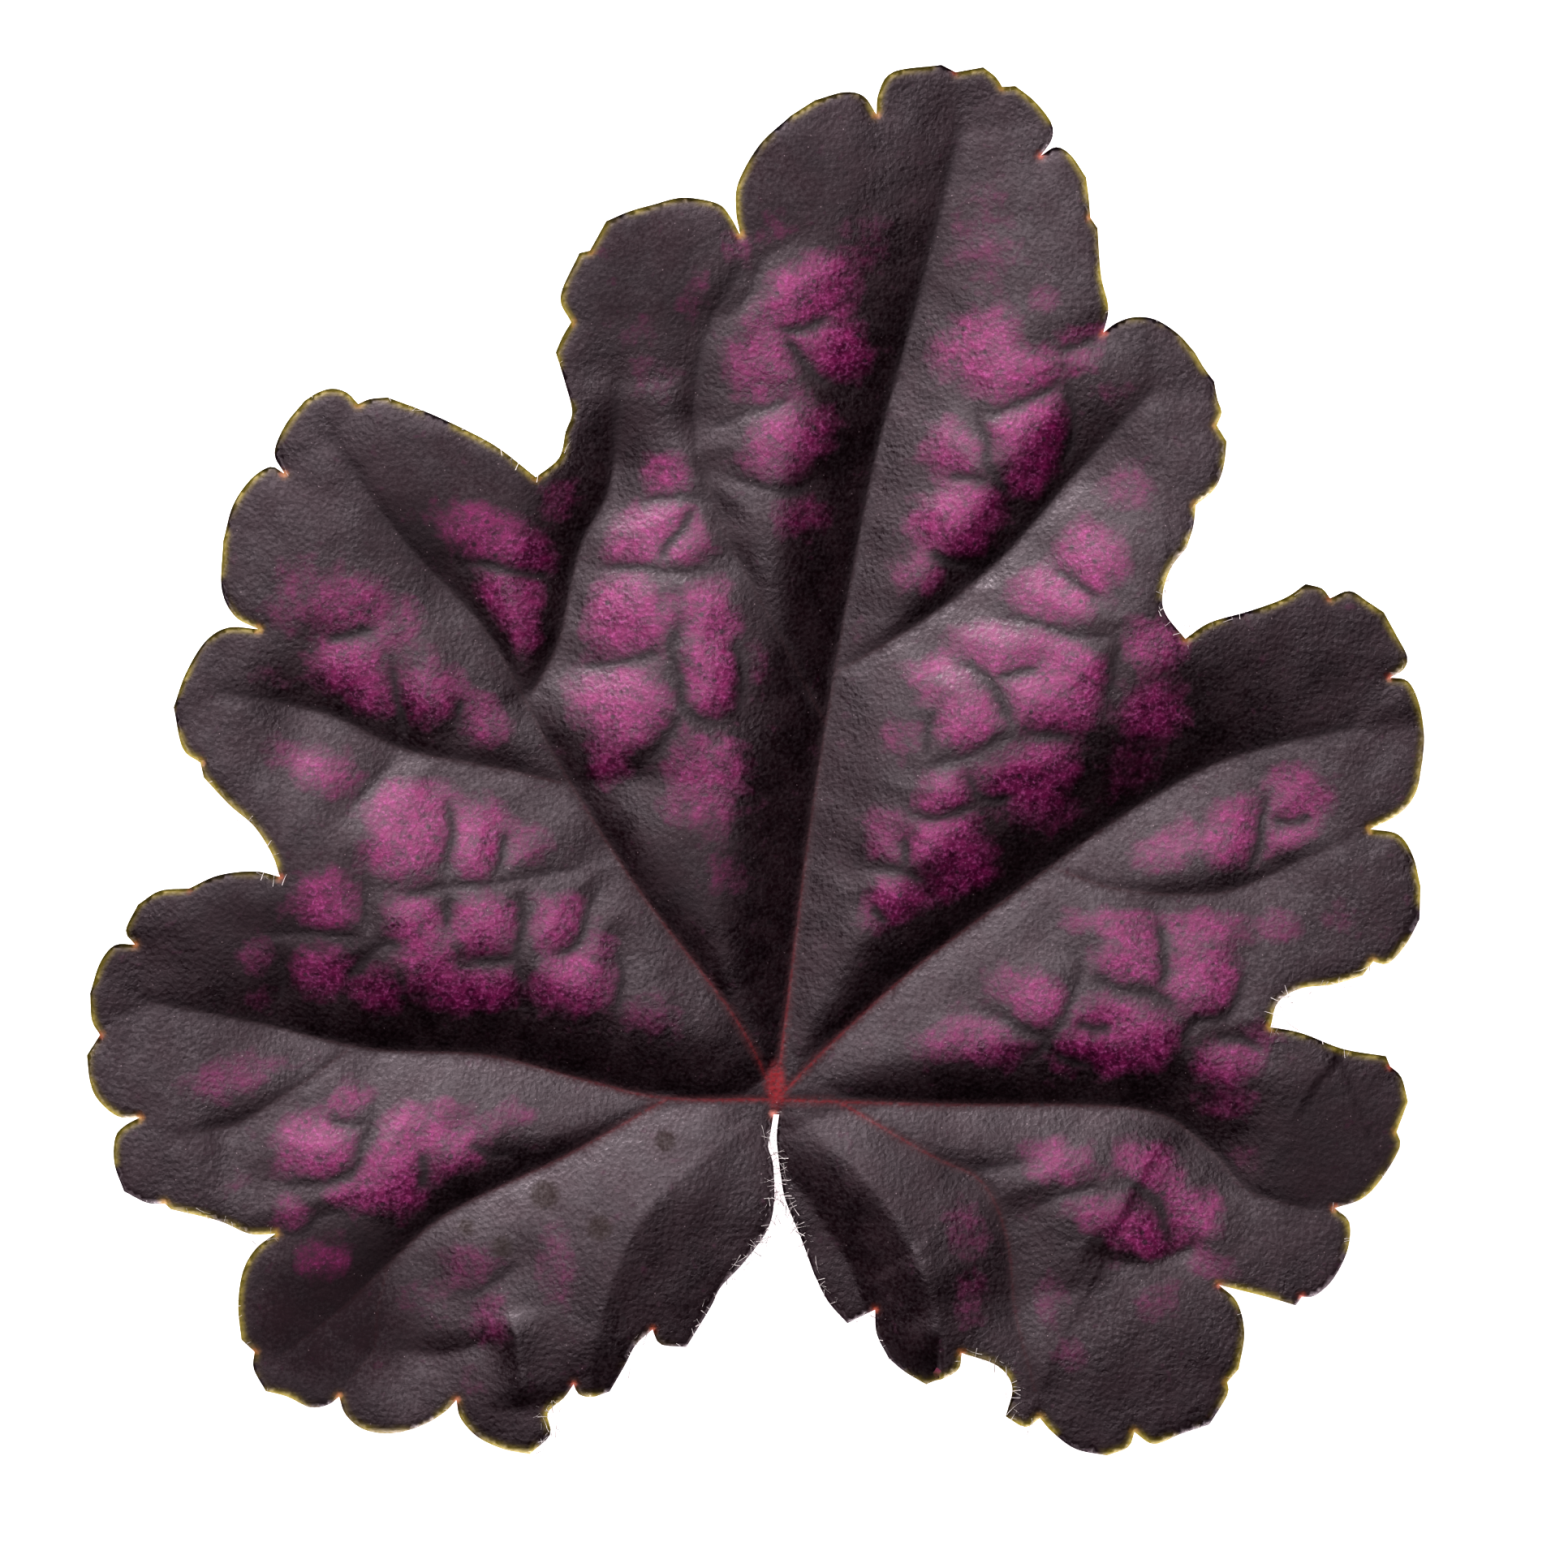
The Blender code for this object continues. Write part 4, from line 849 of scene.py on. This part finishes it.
    def weights(self, corners, under):
        """The weights that the skin's colours are painted by, where under is 1 for the lower face."""
        to_notch = np.min([np.hypot(*(self.points - corner).T) for corner in corners], axis=0)
        underside = np.full(len(self.points), under)
        return {
            "magenta": self.magenta(),
            "vein_and_crease_shade": self.vein_and_crease_shade(),
            "crimson": self.crimson(),
            "rim": np.exp(-(self.from_margin / RIM_WIDTH) ** 2) * smooth_step(self.from_stalk, *RIM_START),
            "notch_point": np.exp(-(to_notch / NOTCH_POINT_RADIUS) ** 2),
            "blotch": (1.0 - underside) * self.spots(BLOTCHES, *BLOTCH_EDGES),
            "dull": np.maximum(underside, self.spots(DULL_PLACES, *DULL_EDGES)),
            "underside": underside,
        }


def triangulated(flat, count):
    """Triangles over the points, with the first count of them as the closed margin."""
    margin = [list(range(count))]
    corners, _, faces, _, _, _ = delaunay_2d_cdt([Vector(p) for p in flat], [], margin, 1, 1e-6)
    corners = np.array([tuple(c) for c in corners])
    if len(corners) != len(flat) or np.abs(corners - np.array(flat)).max() > 1e-4:
        raise RuntimeError("the sheet's points changed while it was triangulated")
    return np.array([tuple(face) for face in faces])


def link_object(name, mesh):
    """A new object in the scene for a mesh, at the origin."""
    thing = bpy.data.objects.new(name, mesh)
    bpy.context.collection.objects.link(thing)
    return thing


def build_blade(leaf, middle):
    """The blade as one closed mesh: an upper sheet, a lower sheet, and the margin between them."""
    count = len(leaf.loop)
    ribbed = [*MAIN_VEINS.values(), *SIDE_VEINS.values()]
    upper_flat = leaf.sheet_points(UPPER_STEP, VEIN_ROW_OFFSETS, ribbed + SMALL_VEINS, UPPER_CLEARANCE)
    lower_flat = leaf.sheet_points(LOWER_STEP, RIB_ROW_OFFSETS, ribbed, LOWER_CLEARANCE)
    above = Place(leaf, np.array(upper_flat))
    below = Place(leaf, np.array(lower_flat))
    top = np.column_stack([above.points - middle, above.upper()])
    bottom = np.column_stack([below.points - middle, below.lower(below.upper())])

    first = np.arange(count)
    following = np.roll(first, -1)
    shift = len(top)
    faces = np.vstack([
        triangulated(upper_flat, count),
        triangulated(lower_flat, count)[:, ::-1] + shift,
        np.column_stack([first, first + shift, following + shift]),
        np.column_stack([first, following + shift, following]),
    ])
    mesh = bpy.data.meshes.new("leaf_blade")
    mesh.from_pydata((np.vstack([top, bottom]) * MM).tolist(), [], faces.tolist())
    mesh.update()

    corners = leaf.notch_corners()
    on_bottom = below.weights(corners, 1.0)
    for name, on_top in above.weights(corners, 0.0).items():
        layer = mesh.attributes.new(name, "FLOAT", "POINT")
        layer.data.foreach_set("value", np.concatenate([on_top, on_bottom[name]]).astype(np.float32))
    mesh.shade_smooth()
    return link_object("leaf_blade", mesh)


class Recipe:
    """A tree of nodes, with short calls that add them and join them."""

    def __init__(self, tree):
        self.nodes = tree.nodes
        self.links = tree.links

    def put(self, socket, value):
        """Joins a socket to another node's output, or sets its value."""
        if isinstance(value, bpy.types.NodeSocket):
            self.links.new(value, socket)
        else:
            socket.default_value = value

    def make(self, kind, output=0, settings=(), **inputs):
        """A new node with its settings and inputs. It gives one of the node's outputs."""
        node = self.nodes.new(kind)
        for name, value in settings:
            setattr(node, name, value)
        for name, value in inputs.items():
            self.put(node.inputs[name.replace("_", " ")], value)
        return node.outputs[output]

    def finish(self, shader, inputs):
        """Sets the inputs of the shader that the tree starts with."""
        for name, value in inputs.items():
            self.put(self.nodes[shader].inputs[name], value)

    def weight(self, name):
        """A weight painted on the mesh points."""
        return self.make("ShaderNodeAttribute", "Fac", [("attribute_name", name)])

    def facing(self):
        """0 where the skin is seen straight on, and 1 where it is seen edge on."""
        return self.make("ShaderNodeLayerWeight", "Facing")

    def sum(self, operation, first, second=0.0, third=0.0):
        """One step of arithmetic."""
        node = self.nodes.new("ShaderNodeMath")
        node.operation = operation
        for socket, value in zip(node.inputs, (first, second, third)):
            self.put(socket, value)
        return node.outputs[0]

    def spread(self, value, start, end, low=0.0, high=1.0):
        """A value between start and end, spread over low to high and kept inside them."""
        return self.make("ShaderNodeMapRange", "Result", Value=value, From_Min=start, From_Max=end,
                         To_Min=low, To_Max=high)

    def grain(self, size, detail, roughness):
        """Soft noise with specks of about the given size, in millimetres."""
        place = self.make("ShaderNodeTexCoord", "Object")
        return self.make("ShaderNodeTexNoise", "Fac", Vector=place, Scale=1.0 / (size * MM),
                         Detail=detail, Roughness=roughness)

    def cells(self, size):
        """Distance from the middles of cells of about the given size, in millimetres."""
        place = self.make("ShaderNodeTexCoord", "Object")
        return self.make("ShaderNodeTexVoronoi", "Distance", Vector=place, Scale=1.0 / (size * MM))

    def blend(self, share, first, second):
        """A colour between two colours."""
        node = self.nodes.new("ShaderNodeMix")
        node.data_type = "RGBA"
        for index, value in ((0, share), (6, first), (7, second)):
            self.put(node.inputs[index], value)
        return node.outputs[2]

    def bump(self, height, distance, strength, **under):
        """Fine relief of the given height, in millimetres, over what is under it."""
        return self.make("ShaderNodeBump", "Normal", Strength=strength, Distance=distance * MM,
                         Height=height, **under)


def recipe_of(owner):
    """The recipe of a new material or world."""
    owner.use_nodes = True
    return Recipe(owner.node_tree)


def skin_material():
    """The leaf's skin: night purple, magenta between the veins, and the marks on them, with dark vein lines
    that are partly painted shade in the creases.
    """
    material = bpy.data.materials.new("leaf_skin")
    recipe = recipe_of(material)
    coarse = recipe.grain(*COARSE_GRAIN)
    cloud = recipe.grain(*CLOUD_GRAIN)
    mottle = recipe.grain(*MOTTLE_GRAIN)
    fine = recipe.grain(*FINE_GRAIN)

    base = recipe.blend(recipe.spread(coarse, 0.35, 0.65), NIGHT_PURPLE, BROWN_NIGHT)
    ragged = recipe.sum("MULTIPLY_ADD", recipe.sum("ADD", mottle, cloud), 0.6, -0.6)
    magenta = recipe.spread(recipe.sum("ADD", recipe.weight("magenta"), ragged), 0.12, 1.0)
    petal = recipe.blend(recipe.spread(mottle, 0.30, 0.64), DEEP_MAGENTA, MAGENTA)
    petal = recipe.blend(recipe.spread(fine, 0.50, 0.80), petal, PALE_MAGENTA)
    colour = recipe.blend(magenta, base, petal)
    # Dark vein lines: partly the veins' own colour, partly painted shade in their creases.
    vein = recipe.sum("MULTIPLY", recipe.weight("vein_and_crease_shade"), recipe.spread(mottle, 0.3, 0.55, 0.55, 1.0))
    red = recipe.sum("MULTIPLY", recipe.weight("crimson"), recipe.spread(fine, 0.3, 0.6, 0.4, 1.0))
    under = recipe.blend(recipe.spread(recipe.weight("vein_and_crease_shade"), 0.2, 0.8), UNDER_WINE, UNDER_RIB)
    speck = recipe.sum("LESS_THAN", recipe.cells(SPECK_CELLS), 0.05)
    dot = recipe.spread(recipe.cells(DOT_CELLS), 0.09, 0.16, 1.0, 0.0)
    worn = recipe.spread(recipe.grain(*WORN_GRAIN), 0.40, 0.56)
    layers = (
        # The first layer paints shade into the vein creases, over the veins' own dark colour.
        (recipe.sum("MULTIPLY", vein, VEIN_AND_CREASE_SHADE_COVER), DOT_VEIN_AND_CREASE_SHADE_BLACK),
        (recipe.sum("MULTIPLY", recipe.weight("blotch"), BLOTCH_COVER), BLOTCH_BROWN),
        (red, CRIMSON),
        (recipe.weight("underside"), under),
        (recipe.sum("MULTIPLY", speck, SPECK_COVER), SPECK_PALE),
        (recipe.sum("MULTIPLY", dot, DOT_COVER), DOT_VEIN_AND_CREASE_SHADE_BLACK),
        (recipe.weight("notch_point"), NOTCH_ORANGE),
        (recipe.sum("MULTIPLY", recipe.weight("rim"), worn), OLIVE),
    )
    for share, paint in layers:
        colour = recipe.blend(share, colour, paint)

    leathery = recipe.bump(recipe.cells(LEATHER_CELLS), *LEATHER_BUMP)
    grainy = recipe.bump(fine, *FINE_BUMP, Normal=leathery)
    relief = recipe.bump(mottle, *MOTTLE_BUMP, Normal=grainy)
    matte = recipe.sum("MAXIMUM", recipe.weight("dull"), recipe.sum("MULTIPLY", vein, 0.5))
    matte = recipe.sum("MULTIPLY_ADD", recipe.weight("blotch"), 0.5, matte)
    matte = recipe.sum("ADD", recipe.spread(coarse, 0.38, 0.62, -0.06, 0.10), matte)
    matte = recipe.sum("ADD", recipe.spread(fine, 0.35, 0.65, -0.20, 0.28), matte)
    rough = recipe.sum("MULTIPLY_ADD", matte, 0.5, recipe.spread(mottle, 0.3, 0.7, 0.38, 0.50))
    rough = recipe.sum("ADD", rough, recipe.spread(recipe.facing(), 0.15, 0.60, 0.0, 0.38))
    recipe.finish("Principled BSDF", {"Base Color": colour, "Roughness": rough, "Normal": relief,
                                      "Specular IOR Level": 1.0, "Specular Tint": SHEEN_TINT})
    return material


def hair_material():
    """Thin white hairs."""
    material = bpy.data.materials.new("margin_hair")
    recipe = recipe_of(material)
    tint = recipe.blend(recipe.grain(*HAIR_GRAIN), HAIR_WHITE, HAIR_PINK)
    recipe.finish("Principled BSDF", {"Base Color": tint, "Roughness": HAIR_ROUGHNESS})
    return material


def hair_roots(leaf, middle):
    """Points along the margin with the way that each hair points and its length."""
    chance = random.Random(HAIR_SEED)
    roots, aims, lengths = [], [], []
    for start, end in zip(leaf.loop, np.roll(leaf.loop, -1, axis=0)):
        run = end - start
        length = float(np.hypot(*run))
        outward = np.array([run[1], -run[0]]) / length
        for i in range(max(1, round(length / HAIR_STEP))):
            spot = start + run * (i + chance.random()) * HAIR_STEP / length
            thickness = 0.0
            for x, y, reach, density in HAIRY_PLACES:
                share = 1.0 - math.dist(spot, (x, y)) / reach
                thickness += density * min(1.0, max(0.0, HAIRY_EDGE * share))
            if chance.random() > (SPARSE_HAIRS + thickness) * HAIR_STEP:
                continue
            turn = math.radians(chance.uniform(-HAIR_TURN, HAIR_TURN))
            inward = chance.random() < INWARD_HAIRS
            x, y = outward * (-1.0 if inward else 1.0)
            lift = chance.uniform(*(INWARD_LIFT if inward else OUTWARD_LIFT))
            cosine, sine = math.cos(turn), math.sin(turn)
            aims.append((x * cosine - y * sine, x * sine + y * cosine, lift))
            grown = min(1.0, HAIR_LEAST_SHARE + HAIR_GROWTH * thickness)
            low, high = HAIR_LENGTHS
            lengths.append(low + (high - low) * grown * chance.uniform(*HAIR_CHANCE))
            roots.append(spot)
    place = Place(leaf, np.array(roots))
    mesh = bpy.data.meshes.new("hair_roots")
    root_points = np.column_stack([place.points - middle, place.upper() - HAIR_SUNK])
    mesh.from_pydata((root_points * MM).tolist(), [], [])
    aim_layer = mesh.attributes.new("aim", "FLOAT_VECTOR", "POINT")
    aim_layer.data.foreach_set("vector", np.array(aims, np.float32).ravel())
    length_layer = mesh.attributes.new("hair_length", "FLOAT", "POINT")
    length_layer.data.foreach_set("value", np.array(lengths, np.float32) * MM)
    return link_object("hair_roots", mesh)


def hair_tree(material):
    """Geometry nodes that put one bent, tapered hair on each root."""
    tree = bpy.data.node_groups.new("margin_hairs", "GeometryNodeTree")
    face = tree.interface
    face.new_socket("Roots", in_out="INPUT", socket_type="NodeSocketGeometry")
    for name, value in HAIR_SHAPE.items():
        face.new_socket(name, in_out="INPUT", socket_type="NodeSocketFloat").default_value = value
    face.new_socket("Hairs", in_out="OUTPUT", socket_type="NodeSocketGeometry")
    recipe = Recipe(tree)
    make = recipe.make
    given = tree.nodes.new("NodeGroupInput").outputs

    bent = make("ShaderNodeCombineXYZ", X=given["Bend"], Z=1.0)
    stem = make("GeometryNodeCurveQuadraticBezier", Resolution=5, Middle=(0.0, 0.0, 0.5), End=bent)
    ring = make("GeometryNodeCurvePrimitiveCircle", Resolution=4, Radius=given["Thickness"])
    taper = recipe.spread(make("GeometryNodeSplineParameter", "Factor"), 0.0, 1.0, 1.0, given["Tip Share"])
    hair = make("GeometryNodeCurveToMesh", Curve=stem, Profile_Curve=ring, Scale=taper, Fill_Caps=True)
    aim = make("GeometryNodeInputNamedAttribute", 0, [("data_type", "FLOAT_VECTOR")], Name="aim")
    size = make("GeometryNodeInputNamedAttribute", 0, [("data_type", "FLOAT")], Name="hair_length")
    roll = tree.nodes.new("FunctionNodeRandomValue")
    roll.data_type = "FLOAT"
    roll.inputs[3].default_value = math.tau
    roll.inputs["Seed"].default_value = HAIR_SEED
    spin = make("FunctionNodeAxisAngleToRotation", Axis=(0.0, 0.0, 1.0), Angle=roll.outputs[1])
    facing = make("FunctionNodeAlignRotationToVector", 0, [("axis", "Z")], Vector=aim)
    turned = make("FunctionNodeRotateRotation", 0, [("rotation_space", "LOCAL")],
                  Rotation=facing, Rotate_By=spin)
    placed = make("GeometryNodeInstanceOnPoints",
                  Points=given["Roots"], Instance=hair, Rotation=turned, Scale=size)
    real = make("GeometryNodeRealizeInstances", Geometry=placed)
    smooth = make("GeometryNodeSetShadeSmooth", Geometry=real)
    painted = make("GeometryNodeSetMaterial", Geometry=smooth, Material=material)
    recipe.put(tree.nodes.new("NodeGroupOutput").inputs[0], painted)
    return tree


def build_hairs(leaf, middle):
    """The white hairs along the margin, as one plain mesh."""
    roots = hair_roots(leaf, middle)
    grower = roots.modifiers.new("margin_hairs", "NODES")
    grower.node_group = hair_tree(hair_material())
    evaluated = roots.evaluated_get(bpy.context.evaluated_depsgraph_get())
    mesh = bpy.data.meshes.new_from_object(evaluated)
    bpy.data.objects.remove(roots, do_unlink=True)
    mesh.name = "margin_hairs"
    return link_object("margin_hairs", mesh)


def build_floor():
    """A plain white floor, wide enough for every view."""
    bpy.ops.mesh.primitive_plane_add(size=FLOOR_SIZE, location=(0.0, 0.0, -FLOOR_GAP * MM))
    floor = bpy.context.object
    floor.name = "floor"
    paint = bpy.data.materials.new("white_floor")
    recipe_of(paint).finish("Principled BSDF", {
        "Base Color": FLOOR_WHITE, "Roughness": FLOOR_ROUGHNESS,
        "Emission Color": PURE_WHITE, "Emission Strength": FLOOR_GLOW})
    floor.data.materials.append(paint)


def softbox(name, azimuth, elevation, distance, size, power):
    """A square soft light, aimed at the leaf."""
    across = math.radians(azimuth)
    up = math.radians(elevation)
    away = Vector((math.sin(across) * math.cos(up), math.cos(across) * math.cos(up), math.sin(up)))
    light = bpy.data.lights.new(name, "AREA")
    light.shape = "SQUARE"
    light.size = size
    light.energy = power
    lamp = link_object(name, light)
    lamp.location = away * distance
    lamp.rotation_mode = "QUATERNION"
    lamp.rotation_quaternion = away.to_track_quat("Z", "Y")


def build_camera(middle):
    """A long lens straight above, with the photograph's frame."""
    data = bpy.data.cameras.new("camera")
    data.lens = CAMERA_LENS
    data.sensor_width = CAMERA_SENSOR
    camera = link_object("camera", data)
    x, y = (np.array(PHOTO_CENTRE) - middle) * MM
    camera.location = (x, y, PHOTO_WIDTH * MM * CAMERA_LENS / CAMERA_SENSOR)
    bpy.context.scene.camera = camera


def build_air():
    """White air along the horizon, darker overhead and on the side away from the lights."""
    world = bpy.data.worlds.new("studio_air")
    recipe = recipe_of(world)
    parts = recipe.nodes.new("ShaderNodeSeparateXYZ")
    recipe.put(parts.inputs[0], recipe.make("ShaderNodeTexCoord", "Generated"))
    low = recipe.spread(parts.outputs["Z"], *HORIZON_HEIGHT, *HORIZON_STRENGTH)
    lit_side = recipe.sum("MULTIPLY_ADD", parts.outputs["X"], -0.5, parts.outputs["Y"])
    lit = recipe.spread(lit_side, *LIT_SIDE, *LIT_STRENGTH)
    recipe.finish("Background", {"Color": PURE_WHITE, "Strength": recipe.sum("MULTIPLY", low, lit)})
    bpy.context.scene.world = world


def build_studio(middle):
    """The floor, the lights, the camera and the plain colour handling."""
    build_floor()
    build_camera(middle)
    for name, settings in LIGHTS.items():
        softbox(name, *settings)
    build_air()
    bpy.context.scene.view_settings.view_transform = "Standard"
    bpy.context.scene.view_settings.look = "High Contrast"


def main():
    leaf = Leaf()
    low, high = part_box("leaf")
    solid_middle = np.array([(low[0] + high[0]) / 2, (low[1] + high[1]) / 2]) / MM
    middle = 0.5 * (leaf.loop.min(axis=0) + leaf.loop.max(axis=0)) - solid_middle

    blade = build_blade(leaf, middle)
    blade.data.materials.append(skin_material())
    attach(blade, "root")
    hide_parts("leaf")

    hairs = build_hairs(leaf, middle)
    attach(hairs, "root")

    build_studio(middle)


main()
